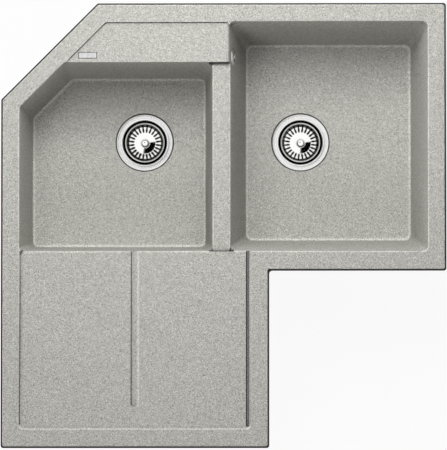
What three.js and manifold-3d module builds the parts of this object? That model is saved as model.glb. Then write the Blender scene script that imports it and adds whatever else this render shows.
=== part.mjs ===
// A corner kitchen sink for a worktop: one stone-composite moulding with two bowls, a tap deck and a drainer,
// with its strainer wastes, overflow, waste pipes and fixing clamps.
// Millimetres, +Z up, worktop surface at z = 0. In plan, x runs right from the sink's left side and y runs
// back to the wall from minus the sink's length at the front to 0 at its back edge.
import * as THREE from "three";
import { mergeVertices } from "three/addons/utils/BufferGeometryUtils.js";
import Module from "manifold-3d";

const wasm = await Module();
wasm.setup();

// --- driving dimensions ---------------------------------------------------------------------------------

const fit = 0.3; // gap between pieces that touch or slide

// sides of round pieces
const wideSides = 24;
const roundSides = 20;
const smallSides = 14;
const boltSides = 8;
const cornerSteps = 4;

// outline of the L
const sideLength = 830; // left side and back side
const armWidth = 500; // both arms
const cornerCut = 180; // legs of the corner cut off at the back left
const outerCornerRadius = 5;
const innerCornerRadius = 6;

// rim, deck, divider and drainer
const rimTop = 8; // over the worktop
const rimWidth = 34;
const frontRimWidth = 36; // in front of both bowls
const rimEdgeRadius = 2.5;
const sealHeight = 2;
const sealShow = 2; // the seal stands out past the rim
const sealWidth = 10;
const deckDrop = 3; // below the rim
const deckDepth = 110; // back edge to left bowl
const deckLipRadius = 2.5;
const stepRun = 2; // width of the sloped steps down from the rim
const dividerWidth = 29.5;
const dividerDrop = 15; // below the rim
const dividerRadius = 4;
const recessCornerRadius = 4;
const drainerDropAtBowl = 9; // below the rim
const drainerDropAtEnd = 4;
const drainerEdgeRun = 5;
const drainerCornerRadius = 9;
const drainerLipRadius = 4;
const grooveWidth = 18; // groove in the middle of the drainer
const edgeGrooveWidth = 7; // groove along its right edge
const edgeGrooveInset = 3; // right side of that groove to the rim
const grooveDepth = 3.5;
const grooveSteepRun = 2.5; // width of a groove's left wall
const grooveBottomShare = 0.6; // of its width, left edge to the foot of its right side
const grooveEndMargin = 42; // groove end to drainer end

// bowls
const bowlDepth = 190;
const wall = 8;
const rightBowlWidth = 371;
const leftBowlDraft = 14; // how far each wall leans in by the floor
const rightBowlDraft = 30;
const bowlCornerRadius = 10;
const bowlFootRadius = 18; // the same corners at the floor
const bowlFillet = 12; // wall to floor
const bowlEdgeRadius = 3;
const floorFall = 2.5; // floor edge to drain

// underside of the moulding
const skirtInset = 12; // edge of the sink to edge of the worktop cut-out
const skirtDepth = 16;
const skirtWall = 8;
const ribWall = 6;
const tapHoleRadius = 17.5;
const tapHoleSkin = 3; // left over the knock-outs
const tapHoleSpacing = 88;

// wastes
const drainSpacing = 295; // evenly about the divider
const drainFromBack = 248;
const seatRadius = 55.5;
const seatDepth = 3;
const floorHoleRadius = 45;
const flangeRadius = 54;
const flangeHeight = 1.5; // over its seal
const flangeSealHeight = 1.5;
const sheet = 1.2; // pressed steel
const cupMouthRadius = 41.2;
const cupFootRadius = 38.5;
const cupDepth = 30;
const cupOutletRadius = 23;
const cupHubRadius = 7;
const cupSpokes = 4;
const cupSpokeWidth = 4.5;
const wasteScrewRadius = 3;
const wasteScrewHeadRadius = 5;
const wasteScrewHeadHeight = 3;
const gasketHeight = 3;
const housingWall = 3;
const housingDepth = 54;
const housingRadius = 47.5;
const housingFlangeRadius = 52;
const housingFlangeHeight = 4;
const housingFoot = 9; // height of the slope round its bottom
const outletRise = 26; // housing bottom to pipe axis

// strainer baskets
const basketRimRadius = 38;
const basketRimDrop = 4; // below the flange
const basketWallRadius = 34.2;
const basketDepth = 18;
const dishDrop = 0.4; // centre of the basket's floor below its edge
const slopeRise = 4.5; // its slotted ring's outer edge above the floor
const slotOuterRadius = 30.5;
const slotInnerRadius = 20.5;
const slotCount = 24;
const slotWidth = 2.4;
const knobRadius = 5.6;
const knobHeight = 12;
const stemRadius = 2.8;
const plugLap = 3; // plug seal over the cup's outlet

// overflow
const overflowFromBack = 97;
const overflowDrop = 41; // below the rim
const rosetteRadius = 16;
const rosetteHeight = 3.8;
const rosetteHoles = 6;
const rosetteHoleRadius = 2.3;
const overflowHoleRadius = 12;
const overflowScrewRadius = 2.4;
const overflowSealHeight = 2;
const elbowDepth = 13;
const overflowPipeRadius = 8.7;
const overflowBend = 30;

// waste pipes
const pipeRadius = 20;
const pipeWall = 2;
const spigotWall = 3.3;
const inletSpigotWall = 2;
const spigotLength = 22;
const teeHalf = 40;
const outletDrop = 66; // pipe axis to the outlet's end
const nutWall = 4.5;
const overflowNutWall = 3;
const nutLength = 20;
const nutGrips = 8;
const nutGripHeight = 1.2;
const sealRingLength = 4;
const pipeInsertion = 13;

// fixing clamps
const clampInset = 18; // edge of the sink to the screw
const clampShares = [0.36, 0.77]; // places along the two long sides
const worktopThickness = 38;
const clampScrewRadius = 3;
const clampHeadRadius = 5.6;
const clampHeadHeight = 4;
const clampThread = 10; // screw inside the moulding
const bossRadius = 6;
const jawSheet = 2.5;
const jawWidth = 14;
const heelWidth = 10;
const heelReach = 7;
const jawReach = 34;
const jawTooth = 3;

// --- shape helpers --------------------------------------------------------------------------------------

function solid(geometry) {
  const bare = new THREE.BufferGeometry();
  bare.setAttribute("position", geometry.getAttribute("position"));
  bare.setIndex(geometry.index);
  const merged = mergeVertices(bare, 1e-3);
  const mesh = new wasm.Mesh({
    numProp: 3,
    vertProperties: new Float32Array(merged.attributes.position.array),
    triVerts: new Uint32Array(merged.index.array),
  });
  return new wasm.Manifold(mesh);
}

function geometryOf(body) {
  const mesh = body.getMesh();
  const geometry = new THREE.BufferGeometry();
  geometry.setAttribute("position", new THREE.BufferAttribute(mesh.vertProperties, 3));
  geometry.setIndex(new THREE.BufferAttribute(mesh.triVerts, 1));
  const faceted = geometry.toNonIndexed();
  faceted.computeVertexNormals();
  return faceted;
}

function joined(...geometries) {
  return geometries.map(solid).reduce((whole, part) => whole.add(part));
}

function cut(body, ...geometries) {
  return geometries.reduce((left, cutter) => left.subtract(solid(cutter)), body);
}

function corner(x, y, radius = 0) {
  return { at: new THREE.Vector2(x, y), radius };
}

// The outline through the corners, counter-clockwise, moved inwards by inset. Each corner is an arc of
// equal steps, of its own radius less or plus the inset, or of the given radius.
function outline(corners, inset, radius = null, steps = cornerSteps) {
  return corners.flatMap((here, i) => {
    const before = corners.at(i - 1);
    const after = corners[(i + 1) % corners.length];
    const arriving = here.at.clone().sub(before.at).normalize();
    const leaving = after.at.clone().sub(here.at).normalize();
    const arrivingNormal = new THREE.Vector2(-arriving.y, arriving.x);
    const leavingNormal = new THREE.Vector2(-leaving.y, leaving.x);
    const turn = Math.atan2(arriving.cross(leaving), arriving.dot(leaving));
    const shift = arrivingNormal.clone().add(leavingNormal);
    shift.multiplyScalar(inset / (1 + arrivingNormal.dot(leavingNormal)));
    const own = here.radius - inset * Math.sign(turn);
    const arc = Math.max(radius ?? own, 0.5);
    const start = here.at.clone().add(shift);
    start.addScaledVector(arriving, -arc * Math.tan(Math.abs(turn) / 2));
    const centre = start.clone().addScaledVector(arrivingNormal, arc * Math.sign(turn));
    return Array.from({ length: steps + 1 }, (_, step) =>
      start.clone().rotateAround(centre, (turn * step) / steps),
    );
  });
}

// A ring of 3-D points: the outline's points at height z, a number or a function of y.
function level(points, z) {
  return points.map((p) => new THREE.Vector3(p.x, p.y, typeof z === "function" ? z(p.y) : z));
}

// A closed body through rings of equally many points, lowest ring first.
function loft(rings) {
  const count = rings[0].length;
  const faces = [];
  for (let ring = 0; ring + 1 < rings.length; ring += 1) {
    for (let i = 0; i < count; i += 1) {
      const here = ring * count + i;
      const next = ring * count + ((i + 1) % count);
      faces.push(here, next, next + count, here, next + count, here + count);
    }
  }
  const flat = (ring) => ring.map((p) => new THREE.Vector2(p.x, p.y));
  const top = (rings.length - 1) * count;
  for (const [a, b, c] of THREE.ShapeUtils.triangulateShape(flat(rings[0]), [])) {
    faces.push(a, c, b);
  }
  for (const [a, b, c] of THREE.ShapeUtils.triangulateShape(flat(rings.at(-1)), [])) {
    faces.push(top + a, top + b, top + c);
  }
  const geometry = new THREE.BufferGeometry().setFromPoints(rings.flat());
  geometry.setIndex(faces);
  return geometry;
}

function box(x0, x1, y0, y1, z0, z1) {
  const geometry = new THREE.BoxGeometry(x1 - x0, y1 - y0, z1 - z0);
  return geometry.translate((x0 + x1) / 2, (y0 + y1) / 2, (z0 + z1) / 2);
}

// A body turned about the z axis from [radius, z] points, counter-clockwise round the section.
function turned(profile, segments = roundSides) {
  const points = profile.map(([radius, z]) => new THREE.Vector2(radius, z));
  return new THREE.LatheGeometry(points, segments).rotateX(Math.PI / 2);
}

function rod(radius, z0, z1, segments = roundSides) {
  return turned([[0, z0], [radius, z0], [radius, z1], [0, z1]], segments);
}

// The radius of a faceted hole whose flats, too, clear the given radius.
function boreRadius(radius, segments = roundSides) {
  return radius / Math.cos(Math.PI / segments);
}

function hole(radius, z0, z1, segments = roundSides) {
  return rod(boreRadius(radius, segments), z0, z1, segments);
}

function tubeUp(outer, inner, z0, z1, segments = roundSides) {
  return turned([[inner, z0], [outer, z0], [outer, z1], [inner, z1], [inner, z0]], segments);
}

// A shape drawn in x and z, drawn out towards the front from y0 to y1.
function prismAlongY(points, y0, y1) {
  const shape = new THREE.Shape(points.map(([x, z]) => new THREE.Vector2(x, z)));
  const geometry = new THREE.ExtrudeGeometry(shape, { depth: y0 - y1, bevelEnabled: false });
  return geometry.rotateX(Math.PI / 2).translate(0, y0, 0);
}

function arcPoints(x, z, radius, from, to, steps = 4) {
  return Array.from({ length: steps + 1 }, (_, step) => {
    const angle = from + ((to - from) * step) / steps;
    return [x + radius * Math.cos(angle), z + radius * Math.sin(angle)];
  });
}

// --- places worked out from the dimensions ---------------------------------------------------------------

const deckTop = rimTop - deckDrop;
const dividerTop = rimTop - dividerDrop;
const diagonal = cornerCut + rimWidth * Math.SQRT2; // x minus y on the rim's inner diagonal edge
const bowlFront = armWidth - frontRimWidth;
const rightBowlRight = sideLength - rimWidth;
const rightBowlLeft = rightBowlRight - rightBowlWidth;
const leftBowlRight = rightBowlLeft - dividerWidth;
const dividerCentre = rightBowlLeft - dividerWidth / 2;
const drainX = {
  left: dividerCentre - drainSpacing / 2,
  right: dividerCentre + drainSpacing / 2,
};
const floorZ = rimTop - bowlDepth;
const underFloorZ = floorZ - seatDepth - wall;
const overlap = 6; // how far cutters run on into open space

const sinkCorners = [
  corner(cornerCut, 0, outerCornerRadius),
  corner(0, -cornerCut, outerCornerRadius),
  corner(0, -sideLength, outerCornerRadius),
  corner(armWidth, -sideLength, outerCornerRadius),
  corner(armWidth, -armWidth, innerCornerRadius),
  corner(sideLength, -armWidth, outerCornerRadius),
  corner(sideLength, 0, outerCornerRadius),
];

const leftBowlCorners = [
  corner(diagonal - deckDepth, -deckDepth),
  corner(rimWidth, rimWidth - diagonal),
  corner(rimWidth, -bowlFront),
  corner(leftBowlRight, -bowlFront),
  corner(leftBowlRight, -deckDepth),
];

const rightBowlCorners = [
  corner(rightBowlLeft, -rimWidth),
  corner(rightBowlLeft, -bowlFront),
  corner(rightBowlRight, -bowlFront),
  corner(rightBowlRight, -rimWidth),
];

const drainerEnd = sideLength - rimWidth;
const drainerRight = armWidth - rimWidth;
const drainerCentre = (rimWidth + drainerRight) / 2;
const edgeGrooveLeft = drainerRight - edgeGrooveInset - edgeGrooveWidth;

function drainerZ(y) {
  const share = (-y - bowlFront) / (drainerEnd - bowlFront);
  return rimTop - THREE.MathUtils.lerp(drainerDropAtBowl, drainerDropAtEnd, share);
}

// --- the moulding ----------------------------------------------------------------------------------------

// How far the wall of a bowl has leant in at height z, for a face that lies out by the given thickness.
function wallInset(draft, z, thickness = 0) {
  const lean = Math.atan2(draft, bowlDepth);
  return (draft * (rimTop - z)) / bowlDepth - thickness / Math.cos(lean);
}

// The rings of a bowl's foot: the fillet from the floor at height z up to the leaning wall.
function footRings(corners, draft, z, thickness, steps) {
  const radius = bowlFillet + thickness;
  const turn = Math.PI / 2 - Math.atan2(draft, bowlDepth);
  const floorInset = wallInset(draft, z, thickness) + radius * Math.tan(turn / 2);
  return Array.from({ length: steps + 1 }, (_, step) => {
    const angle = (turn * step) / steps;
    const inset = floorInset - radius * Math.sin(angle);
    const cornerRadius = bowlFootRadius + thickness - (bowlFillet / 2) * (1 - step / steps);
    return level(outline(corners, inset, cornerRadius), z + radius * (1 - Math.cos(angle)));
  });
}

// The inside of a bowl, from its drain seat up to past the rim.
function bowlHollow(corners, draft, drain) {
  const foot = footRings(corners, draft, floorZ + floorFall, 0, 4);
  const drainCentre = new THREE.Vector3(drain, -drainFromBack, floorZ);
  const seatRing = foot[0].map((p) => {
    const outwards = p.clone().setZ(floorZ).sub(drainCentre);
    return outwards.setLength(seatRadius + overlap).add(drainCentre);
  });
  const edge = [0, Math.PI / 4, Math.PI / 2].map((angle) => {
    const inset = wallInset(draft, rimTop - bowlEdgeRadius) - bowlEdgeRadius * (1 - Math.cos(angle));
    const z = rimTop - bowlEdgeRadius * (1 - Math.sin(angle));
    return level(outline(corners, inset, bowlCornerRadius), z);
  });
  const above = edge.at(-1).map((p) => p.clone().setZ(rimTop + overlap));
  return loft([seatRing, ...foot, ...edge, above]);
}

// The outside of the same bowl, a wall's thickness further out.
function bowlShell(corners, draft) {
  const topZ = rimTop - deckDrop - wall;
  const top = outline(corners, wallInset(draft, topZ, wall), bowlCornerRadius + wall);
  return loft([...footRings(corners, draft, underFloorZ, wall, 2), level(top, topZ)]);
}

// Pockets that leave a skirt and ribs under the drainer.
function drainerPockets() {
  const inner = skirtInset + skirtWall;
  const x0 = inner;
  const x1 = armWidth - inner;
  const y0 = -bowlFront - wall;
  const y1 = inner - sideLength;
  const columns = 3;
  const rows = 3;
  const cellX = (x1 - x0 - ribWall * (columns - 1)) / columns;
  const cellY = (y0 - y1 - ribWall * (rows - 1)) / rows;
  const pockets = [];
  for (let column = 0; column < columns; column += 1) {
    for (let row = 0; row < rows; row += 1) {
      const x = x0 + column * (cellX + ribWall);
      const y = y0 - row * (cellY + ribWall);
      const cell = [corner(x, y), corner(x, y - cellY), corner(x + cellX, y - cellY), corner(x + cellX, y)];
      const plan = outline(cell, 0, ribWall, 1);
      const roof = (at) => drainerZ(at) - wall;
      pockets.push(loft([level(plan, -skirtDepth - overlap), level(plan, roof)]));
    }
  }
  return pockets;
}

function deckPocket() {
  const inner = skirtInset + skirtWall;
  const slant = cornerCut + inner * Math.SQRT2;
  const front = deckDepth - wall;
  const right = rightBowlLeft - wall;
  const corners = [
    corner(slant - inner, -inner),
    corner(slant - front, -front),
    corner(right, -front),
    corner(right, -inner),
  ];
  const plan = outline(corners, 0, ribWall, 2);
  return loft([level(plan, -skirtDepth - overlap), level(plan, deckTop - wall)]);
}

function deckRecess() {
  const front = deckDepth + overlap;
  const right = rightBowlLeft + stepRun;
  const corners = [
    corner(diagonal - rimWidth, -rimWidth),
    corner(diagonal - front, -front),
    corner(right, -front),
    corner(right, -rimWidth),
  ];
  return loft([
    level(outline(corners, stepRun, recessCornerRadius), deckTop),
    level(outline(corners, 0, recessCornerRadius), rimTop),
    level(outline(corners, 0, recessCornerRadius), rimTop + overlap),
  ]);
}

// Everything above the divider's rounded top.
function dividerRelief() {
  const r = dividerRadius;
  const left = leftBowlRight - wallInset(leftBowlDraft, dividerTop - r);
  const right = rightBowlLeft + wallInset(rightBowlDraft, dividerTop - r);
  const top = rimTop + overlap;
  const points = [
    [left - overlap, top],
    [left - overlap, dividerTop - r],
    ...arcPoints(left + r, dividerTop - r, r, Math.PI, Math.PI / 2),
    ...arcPoints(right - r, dividerTop - r, r, Math.PI / 2, 0),
    [right + overlap, dividerTop - r],
    [right + overlap, top],
  ];
  return prismAlongY(points, -deckDepth, -bowlFront);
}

function drainerRecess() {
  const corners = [
    corner(rimWidth, overlap - bowlFront),
    corner(rimWidth, -drainerEnd, drainerCornerRadius),
    corner(drainerRight, -drainerEnd, drainerCornerRadius),
    corner(drainerRight, overlap - bowlFront),
  ];
  const edge = (share) => drainerEdgeRun * share;
  const rise = (share) => (y) => THREE.MathUtils.lerp(drainerZ(y), rimTop, share);
  return loft([
    level(outline(corners, edge(1)), rise(0)),
    level(outline(corners, edge(0.5)), rise(0.12)),
    level(outline(corners, edge(0.2)), rise(0.5)),
    level(outline(corners, 0), rise(1)),
    level(outline(corners, 0), rimTop + overlap),
  ]);
}

// A cutter that rounds an edge over a bowl. It runs along x from the origin, with the solid on its +y side.
function edgeRounder(radius, z, length) {
  const points = [
    [-overlap, z - radius],
    ...arcPoints(radius, z - radius, radius, Math.PI, Math.PI / 2),
    [radius, z + overlap],
    [-overlap, z + overlap],
  ];
  const shape = new THREE.Shape(points.map(([y, up]) => new THREE.Vector2(y, up)));
  const geometry = new THREE.ExtrudeGeometry(shape, { depth: length, bevelEnabled: false });
  return geometry.rotateX(Math.PI / 2).rotateZ(Math.PI / 2);
}

// Rounds the drainer's edge over a bowl from x0 to x1, down to the bowl's leaning wall.
function drainerLip(x0, x1, draft) {
  const z = drainerZ(-bowlFront);
  const y = wallInset(draft, z - drainerLipRadius) - bowlFront;
  return edgeRounder(drainerLipRadius, z, x1 - x0).rotateZ(Math.PI).translate(x1, y, 0);
}

// The same for the deck's edges: its front over the left bowl and the divider, its side over the right bowl.
function deckLips() {
  const leanTo = (draft) => wallInset(draft, deckTop - deckLipRadius);
  const left = diagonal - deckDepth + leanTo(leftBowlDraft);
  const front = edgeRounder(deckLipRadius, deckTop, rightBowlLeft - left);
  const side = edgeRounder(deckLipRadius, deckTop, deckDepth - rimWidth - stepRun);
  return [
    front.translate(left, -deckDepth - leanTo(leftBowlDraft), 0),
    side.rotateZ(Math.PI / 2).translate(rightBowlLeft + leanTo(rightBowlDraft), -deckDepth, 0),
  ];
}

// A groove's cutter, open to the bowl: steep on its left and at its end, rising evenly to its right edge.
function groove(left, width, end) {
  const bowlEnd = drainerLipRadius + overlap - bowlFront;
  const ring = (share, z) => {
    const steep = grooveSteepRun * share;
    const x0 = left + steep;
    const x1 = left + width * (1 - share * (1 - grooveBottomShare));
    const radius = (x1 - x0) / 3;
    const corners = [
      corner(x0, bowlEnd),
      corner(x0, steep - end, radius),
      corner(x1, steep - end, radius),
      corner(x1, bowlEnd),
    ];
    return level(outline(corners, 0), z);
  };
  const below = (depth) => (y) => drainerZ(y) - depth;
  return loft([
    ring(1, below(grooveDepth)),
    ring(0.5, below(grooveDepth / 2)),
    ring(0, below(-fit)),
    ring(0, rimTop + overlap),
  ]);
}

// --- the overflow's place on the right bowl's left wall --------------------------------------------------

const overflowLean = Math.atan2(rightBowlDraft, bowlDepth);
const overflowX = rightBowlLeft + overflowDrop * Math.tan(overflowLean);
const overflowZ = rimTop - overflowDrop;

// Turns a body drawn about +z so that it stands on the wall, facing into the bowl.
function onWall(geometry) {
  return geometry
    .rotateY(Math.PI / 2 - overflowLean)
    .translate(overflowX, -overflowFromBack, overflowZ);
}

// --- fixing clamps' places -------------------------------------------------------------------------------

// Each clamp by its screw and by the direction that points outwards across the sink's edge.
const clampPlaces = [
  ...clampShares.map((share) => ({ x: share * sideLength, y: -clampInset, out: Math.PI / 2 })),
  ...clampShares.map((share) => ({ x: clampInset, y: -share * sideLength, out: Math.PI })),
  { x: sideLength - clampInset, y: -armWidth / 2, out: 0 },
  { x: armWidth / 2, y: clampInset - sideLength, out: -Math.PI / 2 },
  { x: armWidth - clampInset, y: -(armWidth + sideLength) / 2, out: 0 },
  { x: (armWidth + sideLength) / 2, y: clampInset - armWidth, out: -Math.PI / 2 },
];

function sinkBody() {
  const rim = loft([
    level(outline(sinkCorners, sealShow), sealHeight),
    level(outline(sinkCorners, sealShow), rimTop - rimEdgeRadius),
    level(outline(sinkCorners, sealShow + rimEdgeRadius * 0.3), rimTop - rimEdgeRadius * 0.3),
    level(outline(sinkCorners, sealShow + rimEdgeRadius), rimTop),
  ]);
  const skirt = loft([
    level(outline(sinkCorners, skirtInset), -skirtDepth),
    level(outline(sinkCorners, skirtInset), sealHeight + 1),
  ]);
  let body = cut(joined(rim, skirt), ...drainerPockets(), deckPocket());
  for (const place of clampPlaces) {
    const boss = rod(bossRadius, -skirtDepth, sealHeight, boltSides).translate(place.x, place.y, 0);
    body = body.add(solid(boss));
  }
  body = body.add(solid(bowlShell(leftBowlCorners, leftBowlDraft)));
  body = body.add(solid(bowlShell(rightBowlCorners, rightBowlDraft)));
  body = cut(
    body,
    bowlHollow(leftBowlCorners, leftBowlDraft, drainX.left),
    bowlHollow(rightBowlCorners, rightBowlDraft, drainX.right),
    deckRecess(),
    dividerRelief(),
    ...deckLips(),
    drainerRecess(),
    drainerLip(rimWidth + drainerEdgeRun, leftBowlRight, leftBowlDraft),
    drainerLip(rightBowlLeft, drainerRight - drainerEdgeRun, rightBowlDraft),
    groove(drainerCentre - grooveWidth / 2, grooveWidth, drainerEnd - grooveEndMargin),
    groove(edgeGrooveLeft, edgeGrooveWidth, drainerEnd - drainerEdgeRun),
    onWall(rod(overflowHoleRadius, -2 * wall, wall, smallSides)),
  );
  for (const x of Object.values(drainX)) {
    const seat = rod(seatRadius, floorZ - seatDepth, floorZ + overlap, wideSides);
    const opening = rod(floorHoleRadius, underFloorZ - overlap, floorZ, wideSides);
    body = cut(body, seat.translate(x, -drainFromBack, 0), opening.translate(x, -drainFromBack, 0));
  }
  for (const place of clampPlaces) {
    const top = clampThread + fit - skirtDepth;
    const thread = hole(clampScrewRadius + fit, -skirtDepth - overlap, top, boltSides);
    body = cut(body, thread.translate(place.x, place.y, 0));
  }
  for (const x of [diagonal, diagonal + tapHoleSpacing]) {
    const knockOut = rod(tapHoleRadius, -skirtDepth, deckTop - tapHoleSkin);
    body = cut(body, knockOut.translate(x, -(rimWidth + deckDepth) / 2, 0));
  }
  return geometryOf(body);
}

function rimSeal() {
  const height = (inset, z) => level(outline(sinkCorners, inset), z);
  const outer = loft([height(0, 0), height(0, sealHeight)]);
  const inner = loft([height(sealWidth, -1), height(sealWidth, sealHeight + 1)]);
  return geometryOf(cut(solid(outer), inner));
}

// --- wastes, each drawn about its own drain's axis -------------------------------------------------------

const seatZ = floorZ - seatDepth;
const flangeTop = seatZ + flangeSealHeight + flangeHeight;
const cupFloorZ = flangeTop - cupDepth;
const gasketZ = underFloorZ - gasketHeight;
const housingBottomZ = gasketZ - housingDepth;
const pipeZ = housingBottomZ + outletRise;
const overflowInletZ = gasketZ - housingFlangeHeight - overflowPipeRadius - nutWall - fit;
const bossTopZ = cupFloorZ - sheet - fit;
const spigotRadius = pipeRadius + fit + spigotWall;
const inletSpigotRadius = overflowPipeRadius + fit + inletSpigotWall;

function flangeSeal() {
  return tubeUp(flangeRadius - 1, floorHoleRadius + 1, seatZ, seatZ + flangeSealHeight);
}

function wasteFlange() {
  const under = seatZ + flangeSealHeight;
  const lip = 3;
  const cup = turned(
    [
      [flangeRadius, under],
      [flangeRadius - 0.6, flangeTop],
      [cupMouthRadius + lip, flangeTop],
      [cupMouthRadius, flangeTop - lip],
      [cupFootRadius + 1, cupFloorZ + lip],
      [cupFootRadius - 2, cupFloorZ],
      [cupOutletRadius, cupFloorZ],
      [cupOutletRadius, cupFloorZ - sheet],
      [cupFootRadius - 1.5, cupFloorZ - sheet],
      [cupFootRadius + 1 + sheet, cupFloorZ + lip - 0.5],
      [cupMouthRadius + sheet + 0.3, under],
      [flangeRadius, under],
    ],
    wideSides,
  );
  let body = joined(cup, rod(cupHubRadius, cupFloorZ - sheet, cupFloorZ, smallSides));
  for (let spoke = 0; spoke < cupSpokes / 2; spoke += 1) {
    const half = cupSpokeWidth / 2;
    const reach = cupOutletRadius + 1;
    const bar = box(-reach, reach, -half, half, cupFloorZ - sheet, cupFloorZ);
    body = body.add(solid(bar.rotateZ((spoke * 2 * Math.PI) / cupSpokes)));
  }
  return geometryOf(cut(body, hole(wasteScrewRadius + fit, cupFloorZ - 5, cupFloorZ + 5, boltSides)));
}

function wasteScrew() {
  const headZ = cupFloorZ + fit;
  const r = wasteScrewHeadRadius;
  const h = wasteScrewHeadHeight;
  const screw = turned(
    [
      [0, housingBottomZ + 2 * housingWall],
      [wasteScrewRadius, housingBottomZ + 2 * housingWall],
      [wasteScrewRadius, headZ],
      [r, headZ],
      [r, headZ + h * 0.6],
      [r * 0.7, headZ + h],
      [0, headZ + h],
    ],
    boltSides,
  );
  return geometryOf(cut(solid(screw), box(-r, r, -0.6, 0.6, headZ + h - 1.2, headZ + h + 1)));
}

function bowlGasket() {
  return tubeUp(housingFlangeRadius - 0.5, floorHoleRadius + 0.5, gasketZ, underFloorZ);
}

// The plastic chamber, with its outlet towards +x and, if asked, the overflow's inlet at an angle.
function wasteHousing(outletSide, inletAngle) {
  const inner = housingRadius - housingWall;
  const bottom = housingBottomZ;
  const flangeUnder = gasketZ - housingFlangeHeight;
  const chamber = turned(
    [
      [0, bottom],
      [housingRadius - housingFoot, bottom],
      [housingRadius, bottom + housingFoot],
      [housingRadius, flangeUnder - 1],
      [housingFlangeRadius, flangeUnder],
      [housingFlangeRadius, gasketZ],
      [inner, gasketZ],
      [inner, bottom + housingFoot + 1],
      [inner - housingFoot + 2, bottom + housingWall],
      [0, bottom + housingWall],
    ],
    roundSides,
  );
  const reach = housingRadius + spigotLength;
  const along = (geometry, angle, z) => geometry.rotateY(Math.PI / 2).rotateZ(angle).translate(0, 0, z);
  let body = solid(chamber);
  body = body.add(solid(along(rod(spigotRadius, inner + 0.5, reach), outletSide, pipeZ)));
  body = cut(body, along(hole(pipeRadius + fit, wasteScrewHeadRadius * 3, reach + 1), outletSide, pipeZ));
  if (inletAngle !== null) {
    const inlet = rod(inletSpigotRadius, inner + 0.5, reach, smallSides);
    body = body.add(solid(along(inlet, inletAngle, overflowInletZ)));
    const bore = hole(overflowPipeRadius + fit, wasteScrewHeadRadius * 4, reach + 1, smallSides);
    body = cut(body, along(bore, inletAngle, overflowInletZ));
  }
  body = body.add(solid(rod(wasteScrewRadius * 2, bottom + 1, bossTopZ, boltSides)));
  body = cut(body, hole(wasteScrewRadius + fit, bottom + housingWall, bossTopZ + 1, boltSides));
  return geometryOf(body);
}

// --- strainer baskets ------------------------------------------------------------------------------------

const basketRimZ = flangeTop - basketRimDrop;
const basketFloorZ = basketRimZ - basketDepth;

function strainerBasket() {
  const centreZ = basketFloorZ - dishDrop;
  const outerZ = basketFloorZ + slopeRise;
  const stemHole = boreRadius(stemRadius + fit, slotCount);
  const body = turned(
    [
      [stemHole, centreZ - sheet],
      [slotInnerRadius - 1, basketFloorZ + 0.8 - sheet],
      [slotOuterRadius + 0.8, outerZ + 0.2 - sheet],
      [basketWallRadius + 0.6, basketRimZ - 2.4],
      [basketRimRadius, basketRimZ - 1.6],
      [basketRimRadius, basketRimZ - 0.6],
      [basketRimRadius - 0.8, basketRimZ],
      [basketWallRadius + 1, basketRimZ],
      [basketWallRadius - 0.6, basketRimZ - 1.4],
      [basketWallRadius - 2.3, outerZ + 3],
      [slotOuterRadius + 0.4, outerZ + 0.2],
      [slotInnerRadius - 1, basketFloorZ + 0.8],
      [stemHole, centreZ],
      [stemHole, centreZ - sheet],
    ],
    slotCount,
  );
  let basket = solid(body);
  for (let slot = 0; slot < slotCount; slot += 1) {
    const half = slotWidth / 2;
    const cutter = box(slotInnerRadius, slotOuterRadius, -half, half, basketFloorZ - 4, outerZ + 6);
    const angle = ((slot + 0.5) * 2 * Math.PI) / slotCount;
    basket = basket.subtract(solid(cutter.rotateZ(angle)));
  }
  return geometryOf(basket);
}

function basketKnob() {
  const seat = basketFloorZ - dishDrop + fit;
  const top = seat + knobHeight;
  const foot = cupFloorZ + wasteScrewHeadHeight + 2 * fit;
  return turned(
    [
      [0, foot],
      [stemRadius, foot],
      [stemRadius, seat + 0.2],
      [knobRadius * 0.85, seat + 0.8],
      [knobRadius * 0.6, seat + knobHeight * 0.35],
      [knobRadius * 0.7, top - 4],
      [knobRadius, top - 3],
      [knobRadius, top - 1],
      [knobRadius * 0.8, top],
      [0, top + 0.4],
    ],
    smallSides,
  );
}

// The rubber disc that closes the cup's outlet when the basket is pushed down.
function plugSeal() {
  const low = cupFloorZ + fit;
  const high = basketFloorZ - dishDrop - sheet - fit;
  const hollow = wasteScrewHeadRadius + 2;
  const roof = low + wasteScrewHeadHeight + 1;
  const lip = low + 1.5;
  const rim = cupOutletRadius + plugLap;
  const stemHole = boreRadius(stemRadius + fit, smallSides);
  return turned(
    [
      [stemHole, roof],
      [hollow, roof],
      [hollow, lip],
      [cupOutletRadius - 2, lip],
      [cupOutletRadius, low],
      [rim, low],
      [rim, lip],
      [rim - 4, high - 1.5],
      [hollow + 2, high],
      [stemHole, high],
      [stemHole, roof],
    ],
    smallSides,
  );
}

// --- overflow --------------------------------------------------------------------------------------------

const elbowFace = -wall - overflowSealHeight - 2 * fit;
const overflowPipeX = overflowX + (elbowFace - elbowDepth * 0.75) * Math.cos(overflowLean);
const elbowSpigotBottom = overflowZ - overflowHoleRadius - spigotLength;

function overflowRosette() {
  const r = rosetteRadius;
  const h = rosetteHeight;
  const bore = boreRadius(overflowScrewRadius + fit);
  const dome = turned(
    [
      [bore, h - 2],
      [r * 0.7, h - 2.2],
      [r * 0.92, fit],
      [r, fit],
      [r * 0.9, h - 1.2],
      [r * 0.65, h - 0.2],
      [bore, h],
      [bore, h - 2],
    ],
    roundSides,
  );
  let rosette = solid(dome);
  for (let hole = 0; hole < rosetteHoles; hole += 1) {
    const cutter = rod(rosetteHoleRadius, -1, h + 2, boltSides).translate(r * 0.56, 0, 0);
    rosette = rosette.subtract(solid(cutter.rotateZ((hole * 2 * Math.PI) / rosetteHoles)));
  }
  return onWall(geometryOf(rosette));
}

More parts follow.
